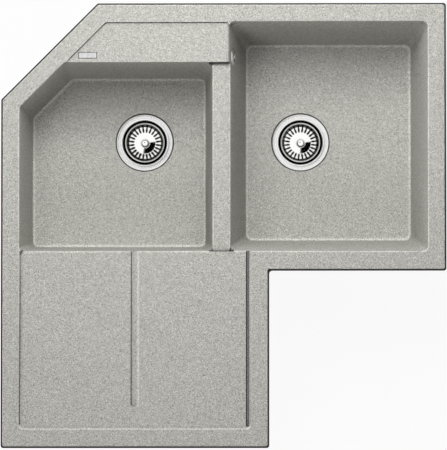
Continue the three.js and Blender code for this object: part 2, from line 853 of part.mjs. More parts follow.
function overflowScrew() {
  const r = overflowScrewRadius;
  const seat = rosetteHeight + fit;
  const end = elbowFace - elbowDepth + 2 * pipeWall + 2 * fit;
  const screw = turned(
    [
      [0, end],
      [r, end],
      [r, seat],
      [r * 1.7, seat],
      [r * 1.7, seat + 0.6],
      [r, seat + 1.5],
      [0, seat + 1.6],
    ],
    boltSides,
  );
  const slot = box(-5, 5, -0.5, 0.5, seat + 0.8, seat + 3);
  return onWall(geometryOf(cut(solid(screw), slot)));
}

function overflowSeal() {
  const back = -wall - fit;
  return onWall(tubeUp(rosetteRadius, overflowHoleRadius, back - overflowSealHeight, back, smallSides));
}

// A shallow chamber against the wall's back, with a threaded bar for the screw and a spigot straight down.
function overflowElbow() {
  const chamberRadius = overflowHoleRadius + 1;
  const back = elbowFace - elbowDepth;
  const downAt = (geometry) => geometry.translate(overflowPipeX, -overflowFromBack, 0);
  let body = joined(
    onWall(rod(rosetteRadius, elbowFace - 3, elbowFace, smallSides)),
    onWall(rod(chamberRadius, back, elbowFace, smallSides)),
    downAt(rod(inletSpigotRadius, elbowSpigotBottom, overflowZ - overflowHoleRadius, smallSides)),
  );
  body = cut(
    body,
    onWall(rod(chamberRadius - 2, back + 2, elbowFace + 1, smallSides)),
    downAt(hole(overflowPipeRadius + fit, elbowSpigotBottom - 1, overflowZ, smallSides)),
  );
  const barHalf = overflowScrewRadius + 2;
  const bar = box(-chamberRadius + 1, chamberRadius - 1, -barHalf, barHalf, elbowFace - 4, elbowFace);
  body = body.add(solid(onWall(bar)));
  body = cut(body, onWall(hole(overflowScrewRadius + fit, back + 3, elbowFace + 1, boltSides)));
  return geometryOf(body);
}

// Direction in plan from the overflow's down-pipe to the right waste.
const overflowRun = new THREE.Vector2(drainX.right - overflowPipeX, overflowFromBack - drainFromBack);
const inletAngle = Math.atan2(-overflowRun.y, -overflowRun.x);

// A route through given places, straight between them.
class BentRoute extends THREE.Curve {
  constructor(places) {
    super();
    this.places = places;
  }

  getPointAt(share) {
    const at = share * (this.places.length - 1);
    const low = Math.min(Math.floor(at), this.places.length - 2);
    return this.places[low].clone().lerp(this.places[low + 1], at - low);
  }

  getTangentAt(share) {
    const at = Math.round(share * (this.places.length - 1));
    const before = this.places[Math.max(at - 1, 0)];
    const after = this.places[Math.min(at + 1, this.places.length - 1)];
    const arriving = this.places[at].clone().sub(before).normalize();
    return after.clone().sub(this.places[at]).normalize().add(arriving).normalize();
  }
}

// A rigid pipe straight down from the elbow, then one bend under the bowl towards the waste.
function overflowPipe() {
  const start = new THREE.Vector3(overflowPipeX, -overflowFromBack, elbowSpigotBottom + pipeInsertion);
  const along = new THREE.Vector3(overflowRun.x, overflowRun.y, 0).normalize();
  const knee = new THREE.Vector3(overflowPipeX, -overflowFromBack, overflowInletZ);
  const bendCentre = knee.clone().addScaledVector(along, overflowBend);
  bendCentre.z += overflowBend;
  const length = overflowRun.length() - housingRadius - spigotLength + pipeInsertion;
  const places = [start];
  const bendSteps = 6;
  for (let step = 0; step <= bendSteps; step += 1) {
    const angle = ((Math.PI / 2) * step) / bendSteps;
    const place = bendCentre.clone().addScaledVector(along, -overflowBend * Math.cos(angle));
    place.z -= overflowBend * Math.sin(angle);
    places.push(place);
  }
  places.push(knee.clone().addScaledVector(along, length));
  const section = new THREE.Shape().absarc(0, 0, overflowPipeRadius, 0, 2 * Math.PI);
  section.holes.push(new THREE.Path().absarc(0, 0, overflowPipeRadius - pipeWall, 0, 2 * Math.PI, true));
  return new THREE.ExtrudeGeometry(section, {
    steps: places.length - 1,
    extrudePath: new BentRoute(places),
    curveSegments: smallSides / 2,
  });
}

// --- waste pipes -----------------------------------------------------------------------------------------

const nutLip = 4;

// A union nut with grip ribs, from its lip round the pipe at z = 0 to its skirt round the spigot.
function unionNut(pipe, spigot, thickness) {
  const outer = spigot + fit + thickness;
  const root = outer - nutGripHeight;
  const onePitch = [[0, outer], [0.5, outer], [0.75, root]];
  const grips = new THREE.Shape();
  for (let grip = 0; grip < nutGrips; grip += 1) {
    for (const [share, radius] of onePitch) {
      const angle = ((grip + share) * 2 * Math.PI) / nutGrips;
      const point = [radius * Math.cos(angle), radius * Math.sin(angle)];
      if (grip + share === 0) grips.moveTo(...point);
      else grips.lineTo(...point);
    }
  }
  const nut = new THREE.ExtrudeGeometry(grips, { depth: nutLength, bevelEnabled: false });
  const pipeHole = hole(pipe + fit, -1, nutLip + 1, smallSides);
  const spigotHole = hole(spigot + fit, nutLip, nutLength + 1, smallSides);
  return geometryOf(cut(solid(nut), pipeHole, spigotHole));
}

function sealRing(pipe, spigot) {
  const z = nutLip + fit;
  const bore = boreRadius(pipe + fit, smallSides);
  return turned(
    [
      [bore, z],
      [spigot - fit, z],
      [spigot - fit, z + sealRingLength * 0.4],
      [bore + 0.5, z + sealRingLength],
      [bore, z],
    ],
    smallSides,
  );
}

function linkPipe(x0, x1) {
  return tubeUp(pipeRadius, pipeRadius - pipeWall, x0, x1).rotateY(Math.PI / 2);
}

function outletTee() {
  const across = (radius, half) => rod(radius, -half, half).rotateY(Math.PI / 2);
  const bore = pipeRadius + fit;
  const body = joined(across(spigotRadius, teeHalf), rod(spigotRadius, -outletDrop, 0));
  return geometryOf(cut(body, across(bore, teeHalf + 1), rod(bore, -outletDrop - 1, 0)));
}

// --- fixing clamps, drawn with the jaw along +x and the screw on the z axis -------------------------------

const toothZ = -worktopThickness;
const jawZ = toothZ - jawTooth;

function clampJaw() {
  const low = jawZ - jawSheet;
  const heel = -heelReach;
  const heelTop = -skirtDepth - fit;
  const bend = jawSheet * 0.6;
  const profile = [
    [heel, heelTop],
    [heel, low + bend],
    [heel + bend, low],
    [jawReach - bend, low],
    [jawReach, low + bend],
    [jawReach, toothZ],
    [jawReach - jawSheet * 0.5, toothZ],
    [jawReach - jawSheet, jawZ + 0.5],
    [jawReach - jawSheet, jawZ],
    [heel + jawSheet, jawZ],
    [heel + jawSheet, heelTop],
  ];
  const half = jawWidth / 2;
  const narrow = heelWidth / 2;
  const strip = solid(prismAlongY(profile, half, -half));
  const sides = [1, -1].map((side) => {
    const y = [side * narrow, side * (half + 1)].sort((a, b) => a - b);
    return box(heel - 1, heel + jawSheet + 0.6, y[0], y[1], low - 1, heelTop + 1);
  });
  const screwHole = hole(clampScrewRadius + fit, low - 1, jawZ + 1, boltSides);
  return geometryOf(cut(strip, ...sides, screwHole));
}

function clampScrew() {
  const headTop = jawZ - jawSheet - fit;
  const shaft = rod(clampScrewRadius, headTop - 1, clampThread - skirtDepth, boltSides);
  return geometryOf(joined(shaft, rod(clampHeadRadius, headTop - clampHeadHeight, headTop, 6)));
}

// --- the assembly ----------------------------------------------------------------------------------------

const finishes = {
  composite: { color: 0xc4c1b8, roughness: 0.75, metalness: 0 },
  steel: { color: 0xc9c9c7, roughness: 0.25, metalness: 1 },
  chrome: { color: 0xd8d8d8, roughness: 0.1, metalness: 1 },
  zincSteel: { color: 0xa9adb0, roughness: 0.45, metalness: 1 },
  darkPlastic: { color: 0x3c3d3e, roughness: 0.6, metalness: 0 },
  whitePlastic: { color: 0xe6e6e2, roughness: 0.5, metalness: 0 },
  rubber: { color: 0x232323, roughness: 0.85, metalness: 0 },
};

function piece(name, geometry, finish) {
  const mesh = new THREE.Mesh(geometry, new THREE.MeshStandardMaterial(finishes[finish]));
  mesh.name = name;
  return mesh;
}

// A nut and its seal ring where a pipe enters a spigot: end is the spigot's end, into points into it.
function union(name, end, into, pipe, spigot, thickness = nutWall) {
  const group = new THREE.Group();
  group.add(
    piece(`${name}_nut`, unionNut(pipe, spigot, thickness), "darkPlastic"),
    piece(`${name}_seal`, sealRing(pipe, spigot), "rubber"),
  );
  group.quaternion.setFromUnitVectors(new THREE.Vector3(0, 0, 1), into);
  group.position.copy(end).addScaledVector(into, -(nutLip + sealRingLength + 2 * fit));
  return group;
}

function waste(side, outletSide, overflowAngle) {
  const group = new THREE.Group();
  group.add(
    piece(`${side}_flange_seal`, flangeSeal(), "rubber"),
    piece(`${side}_waste_flange`, wasteFlange(), "steel"),
    piece(`${side}_waste_screw`, wasteScrew(), "steel"),
    piece(`${side}_bowl_gasket`, bowlGasket(), "rubber"),
    piece(`${side}_waste_housing`, wasteHousing(outletSide, overflowAngle), "whitePlastic"),
    piece(`${side}_basket`, strainerBasket(), "steel"),
    piece(`${side}_basket_knob`, basketKnob(), "chrome"),
    piece(`${side}_plug_seal`, plugSeal(), "rubber"),
  );
  group.position.set(drainX[side], -drainFromBack, 0);
  return group;
}

function overflow() {
  const group = new THREE.Group();
  const up = new THREE.Vector3(0, 0, 1);
  const elbowEnd = new THREE.Vector3(overflowPipeX, -overflowFromBack, elbowSpigotBottom);
  const along = new THREE.Vector3(overflowRun.x, overflowRun.y, 0).normalize();
  const inletEnd = new THREE.Vector3(drainX.right, -drainFromBack, overflowInletZ);
  inletEnd.addScaledVector(along, -housingRadius - spigotLength);
  group.add(
    piece("overflow_rosette", overflowRosette(), "chrome"),
    piece("overflow_screw", overflowScrew(), "chrome"),
    piece("overflow_seal", overflowSeal(), "rubber"),
    piece("overflow_elbow", overflowElbow(), "darkPlastic"),
    piece("overflow_pipe", overflowPipe(), "whitePlastic"),
    union("overflow_upper", elbowEnd, up, overflowPipeRadius, inletSpigotRadius, overflowNutWall),
    union("overflow_lower", inletEnd, along, overflowPipeRadius, inletSpigotRadius, overflowNutWall),
  );
  return group;
}

function wastePipes() {
  const group = new THREE.Group();
  group.position.set(dividerCentre, -drainFromBack, pipeZ);
  group.add(piece("outlet_tee", outletTee(), "whitePlastic"));
  const spigotEnd = drainSpacing / 2 - housingRadius - spigotLength;
  for (const [side, sign] of [["left", -1], ["right", 1]]) {
    const outward = new THREE.Vector3(sign, 0, 0);
    const inward = outward.clone().negate();
    const atHousing = outward.clone().multiplyScalar(spigotEnd);
    const atTee = outward.clone().multiplyScalar(teeHalf);
    const ends = [sign * (teeHalf - pipeInsertion), sign * (spigotEnd + pipeInsertion)];
    group.add(
      piece(`${side}_link_pipe`, linkPipe(Math.min(...ends), Math.max(...ends)), "whitePlastic"),
      union(`${side}_housing`, atHousing, outward, pipeRadius, spigotRadius),
      union(`${side}_tee`, atTee, inward, pipeRadius, spigotRadius),
    );
  }
  return group;
}

// Each clamp hangs on its screw, its jaw swung in along the edge until the sink is fixed.
function clamp(place, number) {
  const group = new THREE.Group();
  group.add(
    piece(`clamp_screw_${number}`, clampScrew(), "zincSteel"),
    piece(`clamp_jaw_${number}`, clampJaw(), "zincSteel"),
  );
  group.position.set(place.x, place.y, 0);
  group.rotation.z = place.out - Math.PI / 2;
  return group;
}

const plan = new THREE.Group();
plan.add(
  piece("sink_body", sinkBody(), "composite"),
  piece("rim_seal", rimSeal(), "rubber"),
  waste("left", 0, null),
  waste("right", Math.PI, inletAngle),
  overflow(),
  wastePipes(),
  ...clampPlaces.map((place, i) => clamp(place, i + 1)),
);

// The origin is on the worktop, under the middle of the seal in the inside corner of the L.
const sealCentreRadius = innerCornerRadius + sealWidth / 2;
const origin = armWidth + innerCornerRadius - sealCentreRadius * Math.SQRT1_2;
plan.position.set(-origin, origin, 0);

const sink = new THREE.Group();
sink.add(plan);
export default sink;
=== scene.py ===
import math

import bmesh
import bpy
from mathutils import Matrix, Vector


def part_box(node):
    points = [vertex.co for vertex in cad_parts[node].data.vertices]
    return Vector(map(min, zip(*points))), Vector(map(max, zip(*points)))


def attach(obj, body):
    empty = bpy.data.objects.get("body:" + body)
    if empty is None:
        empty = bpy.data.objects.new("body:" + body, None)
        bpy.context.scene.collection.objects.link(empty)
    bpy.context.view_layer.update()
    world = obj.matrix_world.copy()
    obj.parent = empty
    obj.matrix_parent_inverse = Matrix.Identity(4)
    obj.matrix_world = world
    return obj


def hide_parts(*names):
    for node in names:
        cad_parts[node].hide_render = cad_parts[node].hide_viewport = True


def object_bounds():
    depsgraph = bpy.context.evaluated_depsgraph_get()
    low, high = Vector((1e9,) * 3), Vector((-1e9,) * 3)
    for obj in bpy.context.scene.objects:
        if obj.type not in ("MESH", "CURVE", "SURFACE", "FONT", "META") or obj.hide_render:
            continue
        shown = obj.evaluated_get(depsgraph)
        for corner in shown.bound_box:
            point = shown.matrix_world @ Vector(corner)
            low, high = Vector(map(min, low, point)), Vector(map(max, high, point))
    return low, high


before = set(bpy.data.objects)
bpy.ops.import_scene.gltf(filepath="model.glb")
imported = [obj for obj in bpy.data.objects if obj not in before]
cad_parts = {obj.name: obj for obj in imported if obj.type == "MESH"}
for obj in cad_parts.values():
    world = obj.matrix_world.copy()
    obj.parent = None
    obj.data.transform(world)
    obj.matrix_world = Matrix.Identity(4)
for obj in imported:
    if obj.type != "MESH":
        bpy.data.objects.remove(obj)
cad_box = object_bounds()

scene = bpy.context.scene
scene.view_settings.view_transform = "Standard"

# --- camera --------------------------------------------------------------------------------------
# A long lens high over the sink, looking straight down but for a few degrees towards the back,
# with the sink's back edge along the top of the picture.
seal_low, seal_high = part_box("rim_seal")
_, body_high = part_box("sink_body")
camera_height = 11.0
seen_height = 450 / 537  # metres of the rim's plane over the picture's 450 pixels
lean_to_front, lean_to_right = math.radians(3.1), math.radians(0.9)
aim = Vector(((seal_low.x + seal_high.x) / 2, (seal_low.y + seal_high.y) / 2, body_high.z))
towards_camera = Vector((math.tan(lean_to_right), -math.tan(lean_to_front), 1)).normalized()
camera = bpy.data.objects.new("camera", bpy.data.cameras.new("camera"))
camera.data.lens = camera.data.sensor_width * camera_height / seen_height
camera.data.clip_end = 100
across = Vector((0, 1, 0)).cross(towards_camera).normalized()
upwards = towards_camera.cross(across)
turn = Matrix((across, upwards, towards_camera)).transposed().to_4x4()
camera.matrix_world = Matrix.Translation(aim + towards_camera * camera_height) @ turn
scene.collection.objects.link(camera)
scene.camera = camera

# --- sink body -----------------------------------------------------------------------------------
# One cast piece of granite composite, pale and full of light and dark grains: an L-shaped rim with
# two bowls, a deck for the tap, a low divider and a drainer with two grooves. Ribs and a skirt
# stiffen it below, and clamps hold it down.

# lengths in millimetres, x from the left side and y from the back edge, until a piece is finished
plan = Matrix.Translation((seal_low.x, seal_high.y, 0)) @ Matrix.Scale(0.001, 4)
side, arm, slant = 830, 500, 180
rim_top, rim_width, front_width = 8, 34, 36
seal_height, seal_show = 2, 3
deck_top, deck_depth = 5, 110
deck_lip = 2.5
divider_width, divider_top, divider_round = 29.5, -7, 4
bowl_front = arm - front_width
right_bowl_right = side - rim_width
right_bowl_left = right_bowl_right - 371
left_bowl_right = right_bowl_left - divider_width
slant_inside = slant + rim_width * math.sqrt(2)
left_draft, right_draft = 17, 30
bowl_depth, wall = 190, 8
floor_fall, flat_round = 2.5, 61  # the floor falls to a flat round each waste
floor_z = rim_top - bowl_depth
seat_radius, waste_hole = 55.5, 45  # the flange's seat in the floor and the hole within it
seat_z = floor_z - 3
under_z = seat_z - wall
mouth_round, foot_round, corner_round, foot_corner = 3, 9, 10, 13
drains = {"left": Vector((262.75, -248)), "right": Vector((557.75, -248))}
drainer_end, drainer_right = side - rim_width, arm - rim_width
drop_at_bowl, drop_at_end, drainer_lip = 9, 4, 4
skirt_in, skirt_depth, skirt_wall, rib = 12, 16, 8, 6
beyond = 6  # how far a cutter runs on past what it cuts
fit = 0.3  # between pieces that touch or slide

sink_outline = [(slant, 0), (0, -slant), (0, -side), (arm, -side), (arm, -arm), (side, -arm),
                (side, 0)]
left_bowl = [(slant_inside - deck_depth, -deck_depth), (rim_width, rim_width - slant_inside),
             (rim_width, -bowl_front), (left_bowl_right, -bowl_front),
             (left_bowl_right, -deck_depth)]
right_bowl = [(right_bowl_left, -rim_width), (right_bowl_left, -bowl_front),
              (right_bowl_right, -bowl_front), (right_bowl_right, -rim_width)]


def rounded(corners, inset, radius, height):
    """The points of an outline moved inwards, its corners rounded, at a height or a height of y."""
    bm = bmesh.new()
    places = [Vector(c) for c in corners]
    cuts = []
    for before, here, after in zip(places[-1:] + places[:-1], places, places[1:] + places[:1]):
        arriving, leaving = (here - before).normalized(), (after - here).normalized()
        inwards = [Vector((-d.y, d.x)) for d in (arriving, leaving)]
        shift = (inwards[0] + inwards[1]) * inset / (1 + inwards[0].dot(inwards[1]))
        bend = abs(arriving.angle_signed(leaving))
        vert = bm.verts.new((*(here + shift), 0))
        if radius:
            cuts.append((vert, radius * math.tan(bend / 2)))
    bm.faces.new(bm.verts)
    for vert, reach in cuts:
        bmesh.ops.bevel(bm, geom=[vert], offset=reach, offset_type="OFFSET", segments=8,
                        profile=0.5, material=-1, affect="VERTICES")
    bm.faces.ensure_lookup_table()
    points = [v.co.copy() for v in bm.faces[0].verts]
    for p in points:
        p.z = height(p.y) if callable(height) else height
    bm.free()
    return points


def lofted(*rings):
    """A closed body through rings of points, one above the other."""
    bm = bmesh.new()
    loops = []
    for points in rings:
        verts = [bm.verts.new(p) for p in points]
        loops.append([bm.edges.new(pair) for pair in zip(verts, verts[1:] + verts[:1])])
    for low, high in zip(loops, loops[1:]):
        bmesh.ops.bridge_loops(bm, edges=low + high)
    for end in (loops[0], loops[-1]):
        bmesh.ops.contextual_create(bm, geom=end)
    bmesh.ops.recalc_face_normals(bm, faces=bm.faces)
    return bm


def turned(profile, steps, hollow=False):
    """A body spun about the z axis from (radius, height) points, in a closed ring if hollow."""
    bm = bmesh.new()
    verts = [bm.verts.new((r, 0, z)) for r, z in profile]
    ends = verts[1:] + verts[:1] if hollow else verts[1:]
    edges = [bm.edges.new(pair) for pair in zip(verts, ends)]
    bmesh.ops.spin(bm, geom=verts + edges, cent=(0, 0, 0), axis=(0, 0, 1), angle=2 * math.pi,
                   steps=steps, use_merge=True)
    bmesh.ops.remove_doubles(bm, verts=bm.verts, dist=1e-4)
    bmesh.ops.recalc_face_normals(bm, faces=bm.faces)
    return bm


def rod(radius, low, high, steps=48):
    return turned([(0, low), (radius, low), (radius, high), (0, high)], steps)


def moved(bm, x=0, y=0, z=0, turn=None):
    bm.transform(Matrix.Translation((x, y, z)) @ (turn or Matrix.Identity(4)))
    return bm


def drawn_out(points, low, high, along):
    """A section of (across, height) points drawn out along x or y, from low to high."""
    def ring(at):
        return [Vector((at, a, z)) if along == "x" else Vector((a, at, z)) for a, z in points]
    return lofted(ring(low), ring(high))


def arc(x, z, radius, start, end):
    angles = [math.radians(start + (end - start) * step / 6) for step in range(7)]
    return [(x + radius * math.cos(a), z + radius * math.sin(a)) for a in angles]


def as_object(bm, name="tool"):
    mesh = bpy.data.meshes.new(name)
    bm.to_mesh(mesh)
    bm.free()
    made = bpy.data.objects.new(name, mesh)
    scene.collection.objects.link(made)
    return made


union, cut = "UNION", "DIFFERENCE"


def carved(body, steps):
    """The body after each (operation, tool) in turn."""
    whole = as_object(body)
    tools = []
    for operation, tool in steps:
        tools.append(as_object(tool))
        modifier = whole.modifiers.new("carve", "BOOLEAN")
        modifier.operation, modifier.solver, modifier.object = operation, "MANIFOLD", tools[-1]
    bm = bmesh.new()
    bm.from_object(whole, bpy.context.evaluated_depsgraph_get())
    for used in [whole, *tools]:
        bpy.data.objects.remove(used)
    bmesh.ops.remove_doubles(bm, verts=bm.verts, dist=1e-4)
    return bm


def finished(bm, name, nodes, body, slot, material, place=plan, edge=0):
    """The finished piece: edges eased, put in its place, riding on its body for its CAD nodes."""
    sharp = math.radians(32)
    if edge:
        keen = [e for e in bm.edges if e.is_manifold and e.calc_face_angle() > sharp]
        bmesh.ops.bevel(bm, geom=keen, offset=edge, offset_type="OFFSET", segments=2, profile=0.5,
                        material=-1, affect="EDGES", clamp_overlap=True)
    bm.transform(place)
    made = as_object(bm, name)
    made.data.materials.append(material)
    made.data.shade_smooth()
    made.data.set_sharp_from_angle(angle=sharp)
    weighted = made.modifiers.new("even shading", "WEIGHTED_NORMAL")
    weighted.keep_sharp = True
    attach(made, body)
    if nodes:
        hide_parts(*nodes)
    return made


def leant_in(draft, z, thickness=0):
    """How far a bowl's wall has leant in at height z, for a face that lies out by the thickness."""
    return draft * (rim_top - z) / bowl_depth - thickness / math.cos(math.atan2(draft, bowl_depth))


def foot_rings(corners, draft, z, thickness=0, steps=8):
    """From the floor at height z, up the fillet to the leaning wall."""
    radius = foot_round + thickness
    bend = math.pi / 2 - math.atan2(draft, bowl_depth)
    flat = leant_in(draft, z, thickness) + radius * math.tan(bend / 2)
    rings = []
    for step in range(steps + 1):
        angle = bend * step / steps
        corner = foot_corner + thickness - foot_round / 2 * (1 - step / steps)
        rings.append(rounded(corners, flat - radius * math.sin(angle), corner,
                             z + radius * (1 - math.cos(angle))))
    return rings


def bowl_hollow(corners, draft, drain):
    centre = Vector((*drain, floor_z))
    foot = foot_rings(corners, draft, floor_z + floor_fall)
    flat = [centre + (p - centre).xy.to_3d().normalized() * flat_round for p in foot[0]]
    mouth = []
    for angle in (0, 0.4, 0.8, 1.2, math.pi / 2):
        inset = leant_in(draft, rim_top - mouth_round) - mouth_round * (1 - math.cos(angle))
        height = rim_top - mouth_round * (1 - math.sin(angle))
        mouth.append(rounded(corners, inset, corner_round, height))
    above = [p + Vector((0, 0, beyond)) for p in mouth[-1]]
    return lofted(flat, *foot, *mouth, above)


def bowl_shell(corners, draft):
    top = deck_top - wall
    return lofted(*foot_rings(corners, draft, under_z, wall, 4),
                  rounded(corners, leant_in(draft, top, wall), corner_round + wall, top))


def drainer_z(y):
    share = (-y - bowl_front) / (drainer_end - bowl_front)
    return rim_top - (drop_at_bowl + (drop_at_end - drop_at_bowl) * share)


def rim_and_skirt():
    """The rim's slab with its eased edge, and the thicker body inside the seal."""
    edge_round, corner = 2.5, 4
    edge = [rounded(sink_outline, seal_show, corner, seal_height)]
    for angle in range(0, 91, 15):
        a = math.radians(angle)
        edge.append(rounded(sink_outline, seal_show + edge_round * (1 - math.cos(a)), corner,
                            rim_top - edge_round * (1 - math.sin(a))))
    skirt = lofted(rounded(sink_outline, skirt_in + 1, 5, -skirt_depth),
                   rounded(sink_outline, skirt_in, 5, 1 - skirt_depth),
                   rounded(sink_outline, skirt_in, 5, 3))
    return lofted(*edge), skirt


def pockets_below():
    """Nine pockets between the ribs under the drainer, and one under the deck."""
    inner = skirt_in + skirt_wall
    x0, x1, y0, y1 = inner, arm - inner, -bowl_front - wall, inner - side
    across, down = (x1 - x0 - 2 * rib) / 3, (y0 - y1 - 2 * rib) / 3
    for column in range(3):
        for row in range(3):
            x, y = x0 + column * (across + rib), y0 - row * (down + rib)
            cell = [(x, y), (x, y - down), (x + across, y - down), (x + across, y)]
            yield lofted(rounded(cell, -0.8, 6, -skirt_depth - beyond),
                         rounded(cell, -0.8, 6, -skirt_depth), rounded(cell, 0, 6, 1 - skirt_depth),
                         rounded(cell, 0, 6, lambda at: drainer_z(at) - wall))
    front, right = deck_depth - wall, right_bowl_left - wall
    lean = slant + inner * math.sqrt(2)
    cell = [(lean - inner, -inner), (lean - front, -front), (right, -front), (right, -inner)]
    yield lofted(rounded(cell, 0, 6, -skirt_depth - beyond), rounded(cell, 0, 6, deck_top - wall))


def deck_and_divider():
    """The shallow recess of the deck, the low divider's round top, and the deck's eased edges."""
    front, right = deck_depth + beyond, right_bowl_left + 2
    recess = [(slant_inside - rim_width, -rim_width), (slant_inside - front, -front),
              (right, -front), (right, -rim_width)]
    step = ((3.3, deck_top), (2.9, deck_top + 0.3), (1.8, rim_top - 0.5), (1.2, rim_top),
            (1.2, rim_top + beyond))
    yield lofted(*(rounded(recess, inset, 4, height) for inset, height in step))
    r = divider_round
    x0 = left_bowl_right - leant_in(left_draft, divider_top - r)
    x1 = right_bowl_left + leant_in(right_draft, divider_top - r)
    top = rim_top + beyond
    yield drawn_out([(x0 - beyond, top), (x0 - beyond, divider_top - r),
                     *arc(x0 + r, divider_top - r, r, 180, 90),
                     *arc(x1 - r, divider_top - r, r, 90, 0), (x1 + beyond, divider_top - r),
                     (x1 + beyond, top)], -bowl_front, -deck_depth, "y")
    r = deck_lip
    y = -deck_depth - leant_in(left_draft, deck_top - r)
    yield drawn_out([(y - beyond, deck_top - r), *arc(y + r, deck_top - r, r, 180, 90),
                     (y + r, deck_top + 1), (y - beyond, deck_top + 1)],
                    slant_inside - deck_depth + 2, left_bowl_right + 25, "x")
    x = right_bowl_left + leant_in(right_draft, deck_top - r)
    yield drawn_out([(x - r, deck_top + 1), *arc(x - r, deck_top - r, r, 90, 0),
                     (x + beyond, deck_top - r), (x + beyond, deck_top + 1)],
                    -deck_depth, -rim_width - 3, "y")


def drainer():
    """The drainer's sloping tray, its rounded edge over both bowls, and its two grooves."""
    tray = [(rim_width, beyond - bowl_front), (rim_width, -drainer_end),
            (drainer_right, -drainer_end), (drainer_right, beyond - bowl_front)]

    def rise(share):
        return lambda y: drainer_z(y) + (rim_top - drainer_z(y)) * share
    shares = [(5, 0), (3.6, 0.04), (2.4, 0.15), (1.4, 0.38), (0.5, 0.75), (0, 0.93), (-0.7, 1)]
    rings = [rounded(tray, run, 9, rise(share)) for run, share in shares]
    yield lofted(*rings, rounded(tray, -0.7, 9, rim_top + beyond))
    r, z, run = drainer_lip, drainer_z(-bowl_front), shares[0][0]
    for x0, x1, draft in ((rim_width + run, left_bowl_right, left_draft),
                          (right_bowl_left, drainer_right - run, right_draft)):
        y = -bowl_front + leant_in(draft, z - r)
        yield drawn_out([(y + beyond, z - r), (y + beyond, z + beyond), (y - r, z + beyond),
                         *arc(y - r, z - r, r, 90, 0)], x0, x1, "x")
    middle_width, middle_to_end, side_width, side_inset = 18, 42, 7, 3
    yield groove((rim_width + drainer_right - middle_width) / 2, middle_width,
                 drainer_end - middle_to_end)
    yield groove(drainer_right - side_inset - side_width, side_width, drainer_end - run)


def groove(left, width, end):
    """A cutter for a groove, steep on its left and gentle on its right, that opens to the bowl:
    rings from its floor up to the drainer, each with its share of the way down."""
    rings = []
    for share, depth in ((1, 3.5), (0.88, 3.35), (0.7, 2.8), (0.4, 1.5), (0.15, 0.4), (0, -0.05)):
        x0 = left + 0.6 + 2.2 * share
        x1 = left + width * (1 - 0.4 * share)
        start, stop = beyond + 5 - bowl_front, 2.5 * share - end
        corners = [(x0, start), (x0, stop), (x1, stop), (x1, start)]
        rings.append(rounded(corners, 0, (x1 - x0) / 3,
                             lambda y, depth=depth: drainer_z(y) - depth))
    return lofted(*rings, [Vector((p.x, p.y, rim_top + beyond)) for p in rings[-1]])


overflow_lean = math.atan2(right_draft, bowl_depth)
overflow_drop, overflow_y = 41, -97
overflow_z = rim_top - overflow_drop
on_wall = Matrix.Translation((right_bowl_left + overflow_drop * math.tan(overflow_lean),
                              overflow_y, overflow_z))
on_wall @= Matrix.Rotation(math.pi / 2 - overflow_lean, 4, "Y")
# each clamp's place and the way in which it swings out, in degrees
near, far, inset = 0.36 * side, 0.77 * side, 18
clamps = [(near, -inset, 90), (far, -inset, 90), (inset, -near, 180), (inset, -far, 180),
          (side - inset, -arm / 2, 0), (arm / 2, inset - side, -90),
          (arm - inset, -(arm + side) / 2, 0), ((arm + side) / 2, inset - arm, -90)]
boss, bolt_hole, overflow_hole = 6, 3.5, 12
tap_hole, tap_spacing, tap_y = 17.5, 88, -72  # blind holes under the deck, to be knocked through

slab, skirt = rim_and_skirt()
work = [(union, skirt)]
work += [(cut, tool) for tool in pockets_below()]
work += [(union, moved(rod(boss, -skirt_depth, seal_height, 24), x, y)) for x, y, _ in clamps]
bowls = (left_bowl, left_draft, drains["left"]), (right_bowl, right_draft, drains["right"])
work += [(union, bowl_shell(corners, draft)) for corners, draft, _ in bowls]
work += [(cut, bowl_hollow(*bowl)) for bowl in bowls]
work += [(cut, tool) for tool in [*deck_and_divider(), *drainer()]]
work.append((cut, moved(rod(overflow_hole, -2 * wall, wall), turn=on_wall)))
for drain in drains.values():
    seat = turned([(0, under_z - beyond), (waste_hole, under_z - beyond), (waste_hole, seat_z),
                   (seat_radius, seat_z), (seat_radius, floor_z + beyond),
                   (0, floor_z + beyond)], 96)
    work.append((cut, moved(seat, drain.x, drain.y)))
work += [(cut, moved(rod(bolt_hole, -skirt_depth - 1, -5, 16), x, y)) for x, y, _ in clamps]
work += [(cut, moved(rod(tap_hole, -skirt_depth, deck_top - 3), x, tap_y))
         for x in (slant_inside, slant_inside + tap_spacing)]
moulding = carved(slab, work)


def srgb(r, g, b):
    """A colour as a screen shows it, 0 to 255, as the shader's own numbers."""
    parts = [c / 255 for c in (r, g, b)]
    return [*(c / 12.92 if c < 0.04045 else ((c + 0.055) / 1.055) ** 2.4 for c in parts), 1]


def surface(name, colour, roughness, metallic=0):
    """A material with its own Principled shader, and that material's nodes and links."""
    made = bpy.data.materials.new(name)
    made.use_nodes = True
    nodes, links = made.node_tree.nodes, made.node_tree.links
    shader = nodes["Principled BSDF"]
    shader.inputs["Base Color"].default_value = colour
    shader.inputs["Roughness"].default_value = roughness
    shader.inputs["Metallic"].default_value = metallic
    return made, shader, nodes, links


def put(links, value, socket):
    """A number set on a socket, or another node's output linked to it."""
    if isinstance(value, bpy.types.NodeSocket):
        links.new(value, socket)
    else:
        socket.default_value = value


def calculation(nodes, links):
    """A function that adds a Math node."""
    def calc(operation, *values):
        node = nodes.new("ShaderNodeMath")
        node.operation = operation
        for value, socket in zip(values, node.inputs):
            put(links, value, socket)
        return node.outputs[0]
    return calc


def stepped(nodes, links, value, stops):
    """A colour ramp from pairs of a position and a colour, put to an output's value."""
    ramp = nodes.new("ShaderNodeValToRGB")
    for number, (position, colour) in enumerate(stops):
        elements = ramp.color_ramp.elements
        stop = elements[number] if number < 2 else elements.new(1)
        stop.position, stop.color = position, colour
    links.new(value, ramp.inputs["Fac"])
    return ramp.outputs["Color"]


